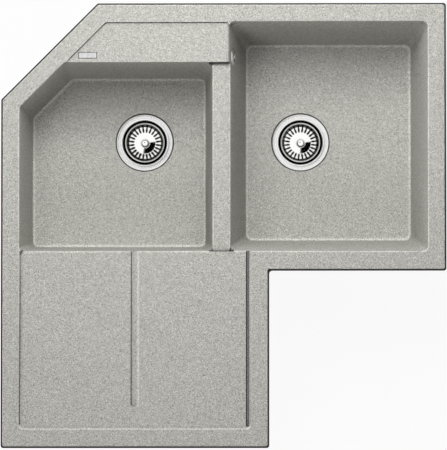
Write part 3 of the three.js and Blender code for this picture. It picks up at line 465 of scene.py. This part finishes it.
def spreading(nodes, links):
    """A function that adds a Map Range node."""
    def spread(value, *ends):
        node = nodes.new("ShaderNodeMapRange")
        links.new(value, node.inputs["Value"])
        for end, name in zip(ends, ("From Min", "From Max", "To Min", "To Max")):
            put(links, end, node.inputs[name])
        return node.outputs["Result"]
    return spread


def noise(nodes, links, vector, scale, detail):
    made = nodes.new("ShaderNodeTexNoise")
    made.inputs["Detail"].default_value = detail
    put(links, scale, made.inputs["Scale"])
    links.new(vector, made.inputs["Vector"])
    return made


def bumped(nodes, links, height, strength, distance):
    """A height put to the material's shader as a bump."""
    bump = nodes.new("ShaderNodeBump")
    bump.inputs["Strength"].default_value = strength
    bump.inputs["Distance"].default_value = distance
    links.new(height, bump.inputs["Height"])
    links.new(bump.outputs["Normal"], nodes["Principled BSDF"].inputs["Normal"])


def composite_material():
    made, shader, nodes, links = surface("granite composite", srgb(186, 185, 179), 0.85)
    shader.inputs["Specular IOR Level"].default_value = 0
    calc, spread = calculation(nodes, links), spreading(nodes, links)
    place = nodes.new("ShaderNodeTexCoord")
    # grains: every cell of a fine Voronoi pattern has a tone of its own
    tones = []
    for scale, amount in ((1250, 0.78), (700, 0.22)):
        cells = nodes.new("ShaderNodeTexVoronoi")
        cells.inputs["Scale"].default_value = scale
        links.new(place.outputs["Object"], cells.inputs["Vector"])
        grey = nodes.new("ShaderNodeSeparateColor")
        links.new(cells.outputs["Color"], grey.inputs["Color"])
        tones.append(calc("MULTIPLY", grey.outputs["Red"], amount))
    grains = stepped(nodes, links, calc("ADD", *tones), (
        (0.04, srgb(96, 95, 90)), (0.25, srgb(166, 165, 159)), (0.5, srgb(187, 186, 180)),
        (0.75, srgb(206, 205, 199)), (0.97, srgb(244, 243, 238))))
    # painted shade: creases near the top are darker, above all on steps that face right or to the
    # front, away from the lamps; painted highlights: eased edges there and the fillets at the
    # bowls' feet are brighter
    at, facing = nodes.new("ShaderNodeSeparateXYZ"), nodes.new("ShaderNodeSeparateXYZ")
    links.new(place.outputs["Object"], at.inputs["Vector"])
    links.new(place.outputs["Normal"], facing.inputs["Vector"])
    crease = nodes.new("ShaderNodeAmbientOcclusion")
    crease.inputs["Distance"].default_value = 0.008
    crease.only_local = True
    near_top = calc("GREATER_THAN", at.outputs["Z"], -0.014)
    # faces turned right or to the front, away from the lamps, take more of the painted shade
    turned_from_lamps = spread(calc("SUBTRACT", facing.outputs["X"], facing.outputs["Y"]),
                         0.25, 0.6, 0.45, 0.87)
    painted_crease_shade = spread(crease.outputs["AO"], turned_from_lamps, 0.97, 0.1, 1)
    unmarked, white = (0, 0, 0, 1), (1, 1, 1, 1)
    # painted highlight on the sloping faces of open edges near the top
    edge = stepped(nodes, links, facing.outputs["Z"],
                   ((0.3, unmarked), (0.6, white), (0.85, white), (0.97, unmarked)))
    open_edge = calc("MULTIPLY", calc("GREATER_THAN", crease.outputs["AO"], 0.88), near_top)
    above_floor = calc("MULTIPLY", calc("SUBTRACT", at.outputs["Z"], floor_z / 1000), 100)
    # painted highlight: a bright band along the fillets at the bowls' feet
    foot = stepped(nodes, links, above_floor,
                   ((0.28, unmarked), (0.4, white), (0.55, white), (0.8, unmarked)))
    # painted shade: the bowls' walls are a little darker lower down, where less light reaches
    painted_wall_shade = calc("MAXIMUM", spread(at.outputs["Z"], -0.17, -0.02, 0.86, 1),
                     calc("GREATER_THAN", facing.outputs["Z"], 0.5))
    painted_highlights = calc("ADD", calc("MULTIPLY", calc("MULTIPLY", edge, open_edge), 0.4),
                    calc("MULTIPLY", foot, 0.35))
    painted_shade = calc("MAXIMUM", painted_crease_shade, calc("SUBTRACT", 1, near_top))
    shaded = nodes.new("ShaderNodeVectorMath")
    shaded.operation = "SCALE"
    links.new(grains, shaded.inputs[0])
    links.new(calc("MULTIPLY", calc("ADD", painted_shade, painted_highlights), painted_wall_shade), shaded.inputs["Scale"])
    links.new(shaded.outputs["Vector"], shader.inputs["Base Color"])
    fine = noise(nodes, links, place.outputs["Object"], 700, 3)
    bumped(nodes, links, fine.outputs["Fac"], 0.25, 0.0004)
    return made


composite = composite_material()
finished(moulding, "sink_body_cast", ["sink_body"], "sink", "composite", composite)

# --- rim seal and other rubber -------------------------------------------------------------------
# Black rubber: the profile strip under the rim, of which 3 mm show all round, the flat
# rings over and under each bowl's floor, and the wedge rings that the union nuts press tight.
def unevenness():
    """A group that turns a fine and a broad noise into a value between Low and High."""
    group = bpy.data.node_groups.new("unevenness", "ShaderNodeTree")
    for name, kind in (("Vector", "NodeSocketVector"), ("Scale", "NodeSocketFloat"),
                       ("Low", "NodeSocketFloat"), ("High", "NodeSocketFloat")):
        group.interface.new_socket(name, in_out="INPUT", socket_type=kind)
    group.interface.new_socket("Value", in_out="OUTPUT", socket_type="NodeSocketFloat")
    group.interface.new_socket("Grain", in_out="OUTPUT", socket_type="NodeSocketFloat")
    nodes, links = group.nodes, group.links
    given, result = nodes.new("NodeGroupInput"), nodes.new("NodeGroupOutput")
    broad = noise(nodes, links, given.outputs["Vector"], given.outputs["Scale"], 4)
    value = spreading(nodes, links)(broad.outputs["Fac"], 0.3, 0.7, given.outputs["Low"],
                                    given.outputs["High"])
    links.new(value, result.inputs["Value"])
    fine = noise(nodes, links, given.outputs["Vector"], 1400, 2)
    links.new(fine.outputs["Fac"], result.inputs["Grain"])
    return group


uneven = unevenness()


def worn(name, dark, light, rough, scale, grain, metallic=0):
    """A finish whose colour and gloss wander a little over the piece, with a fine grain."""
    made, shader, nodes, links = surface(name, dark, rough[0], metallic)
    place = nodes.new("ShaderNodeTexCoord")
    gloss, tone = nodes.new("ShaderNodeGroup"), nodes.new("ShaderNodeGroup")
    for group, low, high, size in ((gloss, *rough, scale), (tone, 0, 1, scale * 2.3)):
        group.node_tree = uneven
        group.inputs["Low"].default_value, group.inputs["High"].default_value = low, high
        group.inputs["Scale"].default_value = size
        links.new(place.outputs["Object"], group.inputs["Vector"])
    links.new(gloss.outputs["Value"], shader.inputs["Roughness"])
    mix = nodes.new("ShaderNodeMix")
    mix.data_type = "RGBA"
    mix.inputs["A"].default_value, mix.inputs["B"].default_value = dark, light
    links.new(tone.outputs["Value"], mix.inputs["Factor"])
    links.new(mix.outputs["Result"], shader.inputs["Base Color"])
    if grain:
        bumped(nodes, links, gloss.outputs["Grain"], grain, 0.0002)
    return made


rubber = worn("black rubber", srgb(30, 30, 30), srgb(46, 46, 45), (0.6, 0.8), 60, 0.3)


def refined(node, body, slot, material, edge, name=None):
    """A CAD node's own shape with its edges eased: its triangles joined, flat faces made whole."""
    bm = bmesh.new()
    bm.from_mesh(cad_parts[node].data)
    bm.transform(Matrix.Scale(1000, 4))
    bmesh.ops.remove_doubles(bm, verts=bm.verts, dist=1e-3)
    bmesh.ops.dissolve_limit(bm, angle_limit=math.radians(1), verts=bm.verts, edges=bm.edges)
    return finished(bm, name or node + "_eased", [node], body, slot, material,
                    Matrix.Scale(0.001, 4), edge)


def washer(inner, outer, low, high, steps=64):
    return turned([(inner, low), (outer, low), (outer, high), (inner, high)], steps, hollow=True)


refined("rim_seal", "sink", "rubber", rubber, 0.5, "rim_seal_strip")
under_flange, gasket_z = floor_z - 1.5, under_z - 3
at_drains = {name: plan @ Matrix.Translation((*drain, 0)) for name, drain in drains.items()}
for side_name, at_drain in at_drains.items():
    # the flange seal reaches out to 55.2 mm, close to the seat's edge, so its black rubber also
    # stands for the shade in the gap round the flange
    for node, inner, outer, low, high, edge in (
            ("flange_seal", 46, 55.2, seat_z, under_flange, 0.25),
            ("bowl_gasket", 45.5, 51.5, gasket_z, under_z, 0.4)):
        finished(washer(inner, outer, low, high, 96), f"{side_name}_{node}_ring",
                 [f"{side_name}_{node}"], "sink", "rubber", rubber, at_drain, edge)

# --- waste flanges -------------------------------------------------------------------------------
# Pressed stainless steel, brushed round its axis: a flat flange in the floor's seat and a cup
# below it, whose open bottom has a cross and a hub for the screw that clamps the waste together.
def brushed_round(name, centre, rough, bands, by_height=None, fine=2600, depth=0.3):
    """Steel brushed in fine rings about an upright axis through the centre, in metres. Its tones
    run outwards, as pairs of radius in mm and grey, or upwards between two heights; the near-black
    ones that callers give are painted shade. Faces turned outwards are plain, which keeps that
    painted shade on the inner faces."""
    made, shader, nodes, links = surface(name, srgb(212, 212, 210), rough, 1.0)
    place, shift = nodes.new("ShaderNodeTexCoord"), nodes.new("ShaderNodeMapping")
    shift.inputs["Location"].default_value = (-centre.x, -centre.y, 0)
    shift.inputs["Scale"].default_value = (1, 1, 0)
    links.new(place.outputs["Object"], shift.inputs["Vector"])
    radius = nodes.new("ShaderNodeVectorMath")
    radius.operation = "LENGTH"
    links.new(shift.outputs["Vector"], radius.inputs[0])
    line = nodes.new("ShaderNodeTexNoise")
    line.noise_dimensions = "1D"
    line.inputs["Scale"].default_value = fine
    line.inputs["Detail"].default_value = 2
    links.new(radius.outputs["Value"], line.inputs["W"])
    calc, spread = calculation(nodes, links), spreading(nodes, links)
    links.new(spread(line.outputs["Fac"], 0, 1, rough * 0.6, rough * 1.5),
              shader.inputs["Roughness"])
    bumped(nodes, links, line.outputs["Fac"], depth, 0.00008)
    start, end = by_height or (0, 60)
    measure = radius.outputs["Value"]
    if by_height:
        height = nodes.new("ShaderNodeSeparateXYZ")
        links.new(place.outputs["Object"], height.inputs["Vector"])
        measure = height.outputs["Z"]
    share = spread(measure, start / 1000, end / 1000, 0, 1)
    stops = [((at - start) / (end - start), srgb(grey, grey, grey - 1)) for at, grey in bands]
    # faces turned outwards are plain, so the painted shade in the bands stays on the inner faces
    outward = nodes.new("ShaderNodeVectorMath")
    outward.operation = "DOT_PRODUCT"
    links.new(shift.outputs["Vector"], outward.inputs[0])
    links.new(place.outputs["Normal"], outward.inputs[1])
    tone = nodes.new("ShaderNodeMix")
    tone.data_type = "RGBA"
    tone.inputs["B"].default_value = srgb(236, 236, 235)
    links.new(calc("GREATER_THAN", outward.outputs["Value"], 0.008), tone.inputs["Factor"])
    links.new(stepped(nodes, links, share, stops), tone.inputs["A"])
    links.new(tone.outputs["Result"], shader.inputs["Base Color"])
    return made


def block(length, width, height):
    bm = bmesh.new()
    bmesh.ops.create_cube(bm, size=1)
    bm.transform(Matrix.Diagonal((length, width, height, 1)))
    return bm


cup_floor = floor_z - 30
sheet, screw_head = 1.2, 3
bottom = gasket_z - 54  # of the chamber under the waste
for side_name, at_drain in at_drains.items():
    # painted shade: inside 40.4 mm, down the cup, the steel is near black, and past 53.4 mm the
    # flange's outer edge is dark, for the shade in the cup and in the gap round the seat
    brushed = brushed_round(
        f"{side_name} brushed steel", at_drain.translation, 0.16,
        ((40.4, 22), (41, 190), (43, 252), (45, 232), (48, 246), (52.6, 238), (53.4, 40)))
    under = cup_floor - sheet
    cup = turned([(54, -183.5), (53.7, -182.8), (53, -182.2), (51.8, -182), (45, -182),
                  (43.3, -182.3), (42, -183.1), (41.3, -184.4), (41.2, -185.6), (39.6, -207.5),
                  (39.1, -209.6), (37.7, -211.3), (35.6, cup_floor), (23, cup_floor), (23, under),
                  (36.2, under), (38.8, -212.2), (40.5, -210), (40.9, -207.8), (42.5, -186),
                  (43.2, -184.2), (44.6, -183.5)], 144, hollow=True)
    cross = [(union, moved(block(*size, sheet), 0, 0, cup_floor - sheet / 2))
             for size in ((48, 4.5), (4.5, 48))]
    cross += [(union, rod(7, under, cup_floor)),
              (cut, rod(3.3, cup_floor - 5, cup_floor + 5, 24))]
    finished(carved(cup, cross), f"{side_name}_waste_cup", [f"{side_name}_waste_flange"], "sink",
             "steel", brushed, at_drain)

    head = cup_floor + fit
    screw = turned([(0, bottom + 6), (3, bottom + 6), (3, head), (4.6, head), (5, head + 0.4),
                    (5, head + 1.6), (4.4, head + 2.4), (3.2, head + 2.9),
                    (0, head + screw_head)], 32)
    slot = moved(block(12, 1.2, 2.4), 0, 0, head + screw_head)
    finished(carved(screw, [(cut, slot)]), f"{side_name}_waste_bolt",
             [f"{side_name}_waste_screw"], "sink", "steel", brushed, at_drain)

# --- strainer baskets ----------------------------------------------------------------------------
# Pressed from thin steel and polished: a shallow dish, a ring of radial slots between convex
# petals, a steep wall and a rolled rim. Each lifts out by its knob, with the plug seal under it.
slots, columns = 24, 12
first_open, last_open, plain_half = 20.4, 31.1, 0.6
# rows of the pressing: radius, height and half the slot's width there, where it isn't plain_half
basket_rows = [(3.1, -204.4), (6, -204.19), (10, -203.9), (14, -203.6), (17.5, -203.35),
               (19.7, -203.18), (20.4, -203.1, 0.5), (20.7, -203.05, 0.85), (21.2, -203, 1.15),
               (22, -202.85, 1.3), (24, -202.5, 1.35), (25.2, -202.3, 1.2), (26.2, -202.1, 0.95),
               (27.4, -201.85, 0.8), (29, -201.5, 0.75), (30.4, -201, 0.7), (31.1, -200.4, 0.45),
               (31.6, -199.4, 0.45), (32.1, -197.4), (32.6, -194), (33.4, -189), (33.8, -187.5),
               (34.4, -186.5), (35.4, -186.05), (36.6, -186), (37.4, -186.2), (37.75, -186.8)]


def basket_mesh():
    """The pressing's sheet: the rows spun round, drawn in to the slots and crowned between them."""
    bm = bmesh.new()
    line = [bm.verts.new((r, 0, z)) for r, z, *_ in basket_rows]
    edges = [bm.edges.new(pair) for pair in zip(line, line[1:])]
    bmesh.ops.spin(bm, geom=line + edges, cent=(0, 0, 0), axis=(0, 0, 1), angle=2 * math.pi,
                   steps=slots * columns, use_merge=True)
    bmesh.ops.remove_doubles(bm, verts=bm.verts, dist=1e-4)
    pitch = 2 * math.pi / slots
    row_of = {(round(r, 2), round(z, 2)): i for i, (r, z, *_) in enumerate(basket_rows)}
    place_of = {}
    for vert in bm.verts:
        row = row_of[round(vert.co.xy.length, 2), round(vert.co.z, 2)]
        step = round(math.atan2(vert.co.y, vert.co.x) / pitch * columns) % (slots * columns)
        place_of[vert] = row, step
    for vert, (row, step) in place_of.items():
        r, z, *half = basket_rows[row]
        slot_number, column = divmod(step, columns)
        lip = (half[0] if half else plain_half) / r
        share = (column - 1) / (columns - 2)
        across = lip + (pitch - 2 * lip) * share if column else 0
        crown = max(0, 1 - ((r - 27) / 6.5) ** 2) * math.sin(math.pi * min(max(share, 0), 1)) ** 0.7
        angle = (slot_number + 0.5) * pitch + across
        vert.co = (r * math.cos(angle), r * math.sin(angle), z + 0.7 * crown)
    open_rows = {i for i, row in enumerate(basket_rows) if first_open <= row[0] <= last_open}
    gone = []
    for face in bm.faces:
        rows = {place_of[v][0] for v in face.verts}
        beside = {(place_of[v][1] + 1) % columns for v in face.verts}
        if rows <= open_rows and beside <= {0, 1, 2}:
            gone.append(face)
    bmesh.ops.delete(bm, geom=gone, context="FACES")
    bmesh.ops.recalc_face_normals(bm, faces=bm.faces)
    if sum(f.normal.z for f in bm.faces) < 0:
        bmesh.ops.reverse_faces(bm, faces=bm.faces)
    return bm


for side_name, at_drain in at_drains.items():
    strainer = side_name + "_strainer"
    # painted shade: the basket's steep wall between 31.4 and 34.6 mm is near black
    polished = brushed_round(
        f"{side_name} polished steel", at_drain.translation, 0.05,
        ((20, 252), (20.6, 244), (31, 242), (31.4, 10), (34.6, 10), (35.2, 190), (37.4, 205)),
        fine=1500, depth=0.1)
    # painted shade: the knob's neck below its widest point is near black, which the dish mirrors as
    # a dark ring round the knob
    turned_steel = brushed_round(f"{side_name} knob steel", at_drain.translation, 0.05,
                                 ((-195.4, 24), (-194.2, 250)), (-206, -190), 1500, 0.1)
    basket = finished(basket_mesh(), f"{side_name}_basket_pressing", [f"{side_name}_basket"],
                      strainer, "steel", polished, at_drain)
    basket.modifiers.clear()
    basket.data.set_sharp_from_angle(angle=math.pi)
    thick = basket.modifiers.new("sheet", "SOLIDIFY")
    thick.thickness, thick.offset = 0.0009, -1
    foot, dish = cup_floor + screw_head + 2 * fit, -204.1
    neck = [(2.8, 0.1), (4.9, 0.3), (4.9, 0.8), (3.9, 1.6), (3.3, 3), (3.2, 5), (3.6, 7),
            (4.6, 8.4), (5.5, 9.2), (5.75, 10), (5.7, 10.9), (5.2, 11.6), (4.2, 12), (2, 12.3),
            (0, 12.4)]
    knob = turned([(0, foot), (2.6, foot), (2.8, foot + 0.3),
                   *((r, dish + z) for r, z in neck)], 64)
    finished(knob, f"{side_name}_knob_turned", [f"{side_name}_basket_knob"], strainer, "chrome",
             turned_steel, at_drain)
    low, high = cup_floor + fit, basket_rows[0][1] - sheet - fit
    seal = turned([(3.1, low + 4), (7, low + 4), (7, low + 1.5), (21, low + 1.5), (23, low),
                   (26, low), (26, low + 1.5), (22, high - 1.5), (9, high), (3.1, high)],
                  64, hollow=True)
    finished(seal, f"{side_name}_plug_disc", [f"{side_name}_plug_seal"], strainer, "rubber",
             rubber, at_drain, 0.4)

# --- overflow ------------------------------------------------------------------------------------
# A chromed rosette on the right bowl's left wall, held by one screw through the wall to a black
# plastic elbow behind it, with a seal between. A rigid pipe runs down from the elbow and under
# the bowl to the right waste.
chrome = worn("chrome", srgb(226, 227, 228), srgb(236, 236, 236), (0.05, 0.12), 90, 0, 1)
black_plastic = worn("black plastic", srgb(40, 41, 42), srgb(54, 54, 55), (0.42, 0.58), 50, 0.25)
white_plastic = worn("white plastic", srgb(226, 226, 221), srgb(236, 236, 232), (0.34, 0.48),
                     30, 0.12)
dome = turned([(2.7, 1.8), (11, 1.6), (14.6, 0.35), (16, 0.35), (15.9, 1), (15.3, 1.9), (14, 2.8),
               (12, 3.4), (9, 3.7), (5, 3.8), (2.7, 3.8)], 96, hollow=True)
holes = []
for number in range(6):
    hole = moved(rod(2.3, -1, 6, 24), 9)
    hole.transform(Matrix.Rotation(math.radians(60 * number), 4, "Z"))
    holes.append((cut, hole))
finished(carved(dome, holes), "overflow_rosette_cap", ["overflow_rosette"], "sink", "chrome",
         chrome, plan @ on_wall)
head = 3.8 + fit
screw = turned([(0, -19), (2.4, -19), (2.4, head), (4.1, head), (4.1, head + 0.5),
                (3.5, head + 1.1), (2.2, head + 1.5), (0, head + 1.6)], 32)
slot = moved(block(10, 1, 2.2), 0, 0, head + 1.9)
finished(carved(screw, [(cut, slot)]), "overflow_bolt", ["overflow_screw"], "sink",
         "chrome", chrome, plan @ on_wall)
finished(washer(12, 16, -10.3, -8.3), "overflow_seal_ring", ["overflow_seal"], "sink", "rubber",
         rubber, plan @ on_wall, 0.3)

elbow_face, elbow_back = -10.3 - fit, -23.6
pipe_x = on_wall.translation.x + (elbow_face - 9.75) * math.cos(overflow_lean)
spigot_top = overflow_z - 12
elbow_end = spigot_top - 22
small_pipe, small_spigot = 8.7, 11
elbow = moved(turned([(0, elbow_back), (12, elbow_back), (13, elbow_back + 1), (13, elbow_face - 3),
                      (16, elbow_face - 3), (16, elbow_face), (0, elbow_face)], 64), turn=on_wall)
# the bar across the elbow's mouth takes the screw
bar = moved(block(24, 8.8, 4), turn=on_wall @ Matrix.Translation((0, 0, elbow_face - 2)))
elbow = carved(elbow, [
    (union, moved(rod(small_spigot, elbow_end, spigot_top), pipe_x, overflow_y)),
    (cut, moved(rod(11, elbow_back + 2, elbow_face + 1), turn=on_wall)),
    (cut, moved(rod(small_pipe + fit, elbow_end - 1, overflow_z), pipe_x, overflow_y)),
    (union, bar),
    (cut, moved(rod(2.7, elbow_back + 3, elbow_face + 1, 24), turn=on_wall))])
finished(elbow, "overflow_elbow_housing", ["overflow_elbow"], "sink", "dark_plastic", black_plastic,
         edge=0.3)

# the pipe goes down from the elbow, round one bend and level to the right waste's inlet
run = Vector((drains["right"].x - pipe_x, drains["right"].y - overflow_y, 0))
inlet_z = gasket_z - 4 - small_pipe - 4.5 - fit
spigot_end, pushed_in, bend = 69.5, 13, 30
along = run.normalized()
level = Matrix((along, along.cross(Vector((0, 0, 1))), (0, 0, 1))).transposed().to_4x4()
stations = [((0, 0, elbow_end + pushed_in), 0)]
stations += [((bend * (1 - math.cos(a)), 0, inlet_z + bend * (1 - math.sin(a))), a)
             for a in (math.pi / 2 * i / 14 for i in range(15))]
stations += [((run.length - spigot_end + pushed_in, 0, inlet_z), math.pi / 2)]
pipe = bmesh.new()
rings = []
for radius, course in ((small_pipe, stations), (small_pipe - 2, stations[::-1])):
    for centre, angle in course:
        turn = Matrix.Translation(centre) @ Matrix.Rotation(angle, 4, "Y")
        ring = bmesh.ops.create_circle(pipe, segments=32, radius=radius, matrix=turn)["verts"]
        rings.append([e for e in pipe.edges if e.verts[0] in ring])
for ring, following in zip(rings, rings[1:] + rings[:1]):
    bmesh.ops.bridge_loops(pipe, edges=ring + following)
bmesh.ops.recalc_face_normals(pipe, faces=pipe.faces)
moved(pipe, pipe_x, overflow_y, 0, level)
finished(pipe, "overflow_tube", ["overflow_pipe"], "sink", "white_plastic", white_plastic)

# --- waste chambers, link pipes and tee ----------------------------------------------------------
# White plastic: a chamber screwed up against each bowl's floor, with an outlet to the side, and
# two pipes that join them in a tee between the bowls, whose leg takes the trap.
pipe_z = bottom + 26
pipe_radius, spigot = 20, 23.6
bore = pipe_radius + fit
lying = Matrix.Rotation(math.pi / 2, 4, "Y")
for side_name, outlet, inlet in (("left", 0, None),
                                 ("right", math.pi, math.atan2(-run.y, -run.x))):
    chamber = turned([(0, bottom), (37.5, bottom), (39.5, bottom + 0.6), (46.6, bottom + 7.4),
                      (47.5, bottom + 9.5), (47.5, gasket_z - 5), (48.4, gasket_z - 4.2),
                      (51.5, gasket_z - 4), (52, gasket_z - 3.5), (52, gasket_z - 0.4),
                      (51.6, gasket_z), (44.5, gasket_z), (44.5, bottom + 10),
                      (37.5, bottom + 3), (0, bottom + 3)], 96)
    steps = []
    for rib in reversed(range(8)):
        fin = moved(block(4, 2, 9), 48, 0, gasket_z - 8)
        fin.transform(Matrix.Rotation(math.radians(22.5 + 45 * rib), 4, "Z"))
        steps.append((union, fin))
    aim_out = Matrix.Rotation(outlet, 4, "Z") @ lying
    steps += [(union, moved(rod(spigot, 45, spigot_end), 0, 0, pipe_z, aim_out)),
              (cut, moved(rod(bore, 15, 71), 0, 0, pipe_z, aim_out))]
    if inlet is not None:
        aim_in = Matrix.Rotation(inlet, 4, "Z") @ lying
        steps += [(union, moved(rod(small_spigot, 45, spigot_end), 0, 0, inlet_z, aim_in)),
                  (cut, moved(rod(small_pipe + fit, 20, 71), 0, 0, inlet_z, aim_in))]
    steps += [(union, rod(6, bottom + 1, cup_floor - sheet - fit, 32)),
              (cut, rod(3.3, bottom + 3, cup_floor, 24))]
    finished(carved(chamber, steps), f"{side_name}_waste_chamber", [f"{side_name}_waste_housing"],
             "sink", "white_plastic", white_plastic, at_drains[side_name])

between = (drains["left"] + drains["right"]) / 2
at_tee = plan @ Matrix.Translation((*between, pipe_z))
tee_half, leg = 40, 66
tee = carved(moved(rod(spigot, -tee_half, tee_half, 64), turn=lying), [
    (union, rod(spigot, -leg, 0, 64)),
    (cut, moved(rod(bore, -tee_half - 1, tee_half + 1, 64), turn=lying)),
    (cut, rod(bore, -leg - 1, 0, 64))])
finished(tee, "outlet_tee_moulding", ["outlet_tee"], "sink", "white_plastic", white_plastic,
         at_tee, 0.3)
for side_name, ends in (("left", (-88.5, -27)), ("right", (27, 88.5))):
    tube = moved(washer(pipe_radius - 2, pipe_radius, *ends), turn=lying)
    finished(tube, f"{side_name}_link_tube", [f"{side_name}_link_pipe"], "sink", "white_plastic",
             white_plastic, at_tee, 0.3)
    for end in ("housing", "tee"):
        refined(f"{side_name}_{end}_nut", "sink", "dark_plastic", black_plastic, 0.5)
        refined(f"{side_name}_{end}_seal", "sink", "rubber", rubber, 0.2)
for end in ("upper", "lower"):
    refined(f"overflow_{end}_nut", "sink", "dark_plastic", black_plastic, 0.4)
    refined(f"overflow_{end}_seal", "sink", "rubber", rubber, 0)

# --- fixing clamps -------------------------------------------------------------------------------
# Zinc-plated steel: a bent strip that hangs on its screw under the rim and swings out beneath
# the worktop, where its tooth bites when the screw is turned up.
zinc = worn("zinc-plated steel", srgb(150, 155, 160), srgb(178, 182, 184), (0.28, 0.46),
            120, 0.15, 1)
# under the 38 mm worktop come 3 mm of room, the jaw's 2.5 mm strip and the screw's head
head_top = -38 - 3 - 2.5 - fit
plain, rise = 12, 1.25  # the shank's length without thread, and the thread's pitch
shank = [(0, head_top - 1), (3, head_top - 1), (3, head_top + plain)]
for lap in range(16):
    z = head_top + plain + lap * rise
    shank += [(2.6, z + 0.6), (3, z + rise)]
shank += [(2.6, -6.3), (0, -6)]
hexagon = [(0, head_top - 4), (5, head_top - 4), (5.6, head_top - 3.4), (5.6, head_top),
           (0, head_top)]
for number, (x, y, out) in enumerate(clamps, 1):
    refined(f"clamp_jaw_{number}", f"clamp_{number}", "zinc_steel", zinc, 0.3)
    facing = Matrix.Rotation(math.radians(out - 90), 4, "Z")
    finished(carved(turned(shank, 24), [(union, turned(hexagon, 6))]), f"clamp_bolt_{number}",
             [f"clamp_screw_{number}"], "sink", "zinc_steel", zinc,
             plan @ Matrix.Translation((x, y, 0)) @ facing)

# --- badge plate ---------------------------------------------------------------------------------
# A small blank plate of bright metal in a thin black bed, both with rounded corners, set in the
# deck near its front left corner. The CAD has no solid for them.
badge_x, badge_y = 161.5, -97.5
for name, length, width, low, high, slot_name, look in (
        ("badge_bed", 35, 12, -1, 0.4, "dark_plastic", black_plastic),
        ("badge_plate", 32.6, 9.8, -0.5, 0.9, "steel", chrome)):
    plate = block(length, width, high - low)
    upright = [e for e in plate.edges if abs((e.verts[0].co - e.verts[1].co).z) > 0.5]
    bmesh.ops.bevel(plate, geom=upright, offset=1.2, offset_type="OFFSET", segments=4,
                    profile=0.5, material=-1, affect="EDGES")
    moved(plate, badge_x, badge_y, deck_top + (low + high) / 2)
    finished(plate, name, [], "sink", slot_name, look, edge=0.2)

# --- floor, light and world ----------------------------------------------------------------------
# A pale floor under the sink, which the camera sees white, six soft lamps above it, most of them
# behind the sink, and a bright room.
floor_mesh = bmesh.new()
bmesh.ops.create_grid(floor_mesh, x_segments=1, y_segments=1, size=30)
floor_mesh.transform(Matrix.Translation((0, 0, cad_box[0].z - 0.002)))
floor = as_object(floor_mesh, "floor")
floor_look, floor_shader, nodes, links = surface("pale floor", srgb(235, 235, 235), 0.8)
calc = calculation(nodes, links)
kind = nodes.new("ShaderNodeLightPath")
seen = calc("MAXIMUM", kind.outputs["Is Camera Ray"], kind.outputs["Is Glossy Ray"])
glow = nodes.new("ShaderNodeEmission")
mix = nodes.new("ShaderNodeMixShader")
links.new(calc("MULTIPLY", seen, 0.93), mix.inputs["Fac"])
links.new(floor_shader.outputs[0], mix.inputs[1])
links.new(glow.outputs[0], mix.inputs[2])
links.new(mix.outputs[0], nodes["Material Output"].inputs["Surface"])
floor.data.materials.append(floor_look)

# soft lamps, each as its place, size and power, all aimed at the sink
for name, place, size, power in (("left lamp", (-0.8, 0.9, 1.9), 0.8, 10),
                                 ("middle lamp", (-0.1, 0.8, 1.9), 0.8, 9),
                                 ("near lamp", (-0.1, 1.1, 1.2), 0.5, 10),
                                 ("back left lamp", (-0.9, 2.9, 2), 0.9, 6),
                                 ("back right lamp", (0.6, 1.9, 1.9), 0.8, 9),
                                 ("front left lamp", (-0.9, -1.8, 1.9), 0.8, 14)):
    lamp = bpy.data.lights.new(name, "AREA")
    lamp.size, lamp.energy = size, power
    hung = bpy.data.objects.new(name, lamp)
    aim = Vector(place).to_track_quat("Z", "Y").to_matrix().to_4x4()
    hung.matrix_world = Matrix.Translation(place) @ aim
    hung.visible_glossy = False
    scene.collection.objects.link(hung)

# The room lights from near the horizon, and only weakly from above. Where something mirrors it,
# it is white, less so towards the horizon, and has a dark panel overhead to the back left, which
# bright metal needs to show.
world = bpy.data.worlds.new("bright room")
world.use_nodes = True
scene.world = world
nodes, links = world.node_tree.nodes, world.node_tree.links
calc = calculation(nodes, links)
view = nodes.new("ShaderNodeTexCoord")
toward = nodes.new("ShaderNodeSeparateXYZ")
links.new(view.outputs["Generated"], toward.inputs["Vector"])
# right, back and off are measured from where a level face mirrors the camera
up = calc("MAXIMUM", toward.outputs["Z"], 0.02)
right = calc("ADD", calc("DIVIDE", toward.outputs["X"], up), 0.016)
back = calc("SUBTRACT", calc("DIVIDE", toward.outputs["Y"], up), 0.054)
off = calc("SQRT", calc("ADD", calc("POWER", right, 2), calc("POWER", back, 2)))
panel_aim, panel_spread = math.radians(134), math.radians(49)
along_aim = calc("ADD", calc("MULTIPLY", right, math.cos(panel_aim)),
                 calc("MULTIPLY", back, math.sin(panel_aim)))
in_sector = calc("GREATER_THAN", along_aim, calc("MULTIPLY", off, math.cos(panel_spread)))
in_ring = calc("MULTIPLY", calc("GREATER_THAN", off, 0.06), calc("LESS_THAN", off, 0.22))
panel = calc("MULTIPLY", in_sector, in_ring)
height = spreading(nodes, links)(toward.outputs["Z"], 0, 0.6, 0.3, 1)
mirrored = calc("MULTIPLY", height, calc("SUBTRACT", 1, panel))
kind = nodes.new("ShaderNodeLightPath")
seen, glossy = kind.outputs["Is Camera Ray"], kind.outputs["Is Glossy Ray"]
shown = calc("MAXIMUM", seen, calc("MULTIPLY", glossy, mirrored))
level = calc("ADD", 0.04, calc("MULTIPLY", 0.8, calc("LESS_THAN", toward.outputs["Z"], 0.25)))
lighting = calc("MULTIPLY", level, calc("SUBTRACT", 1, calc("MAXIMUM", seen, glossy)))
links.new(calc("ADD", shown, lighting), nodes["Background"].inputs["Strength"])
nodes["Background"].inputs["Color"].default_value = (1, 1, 1, 1)
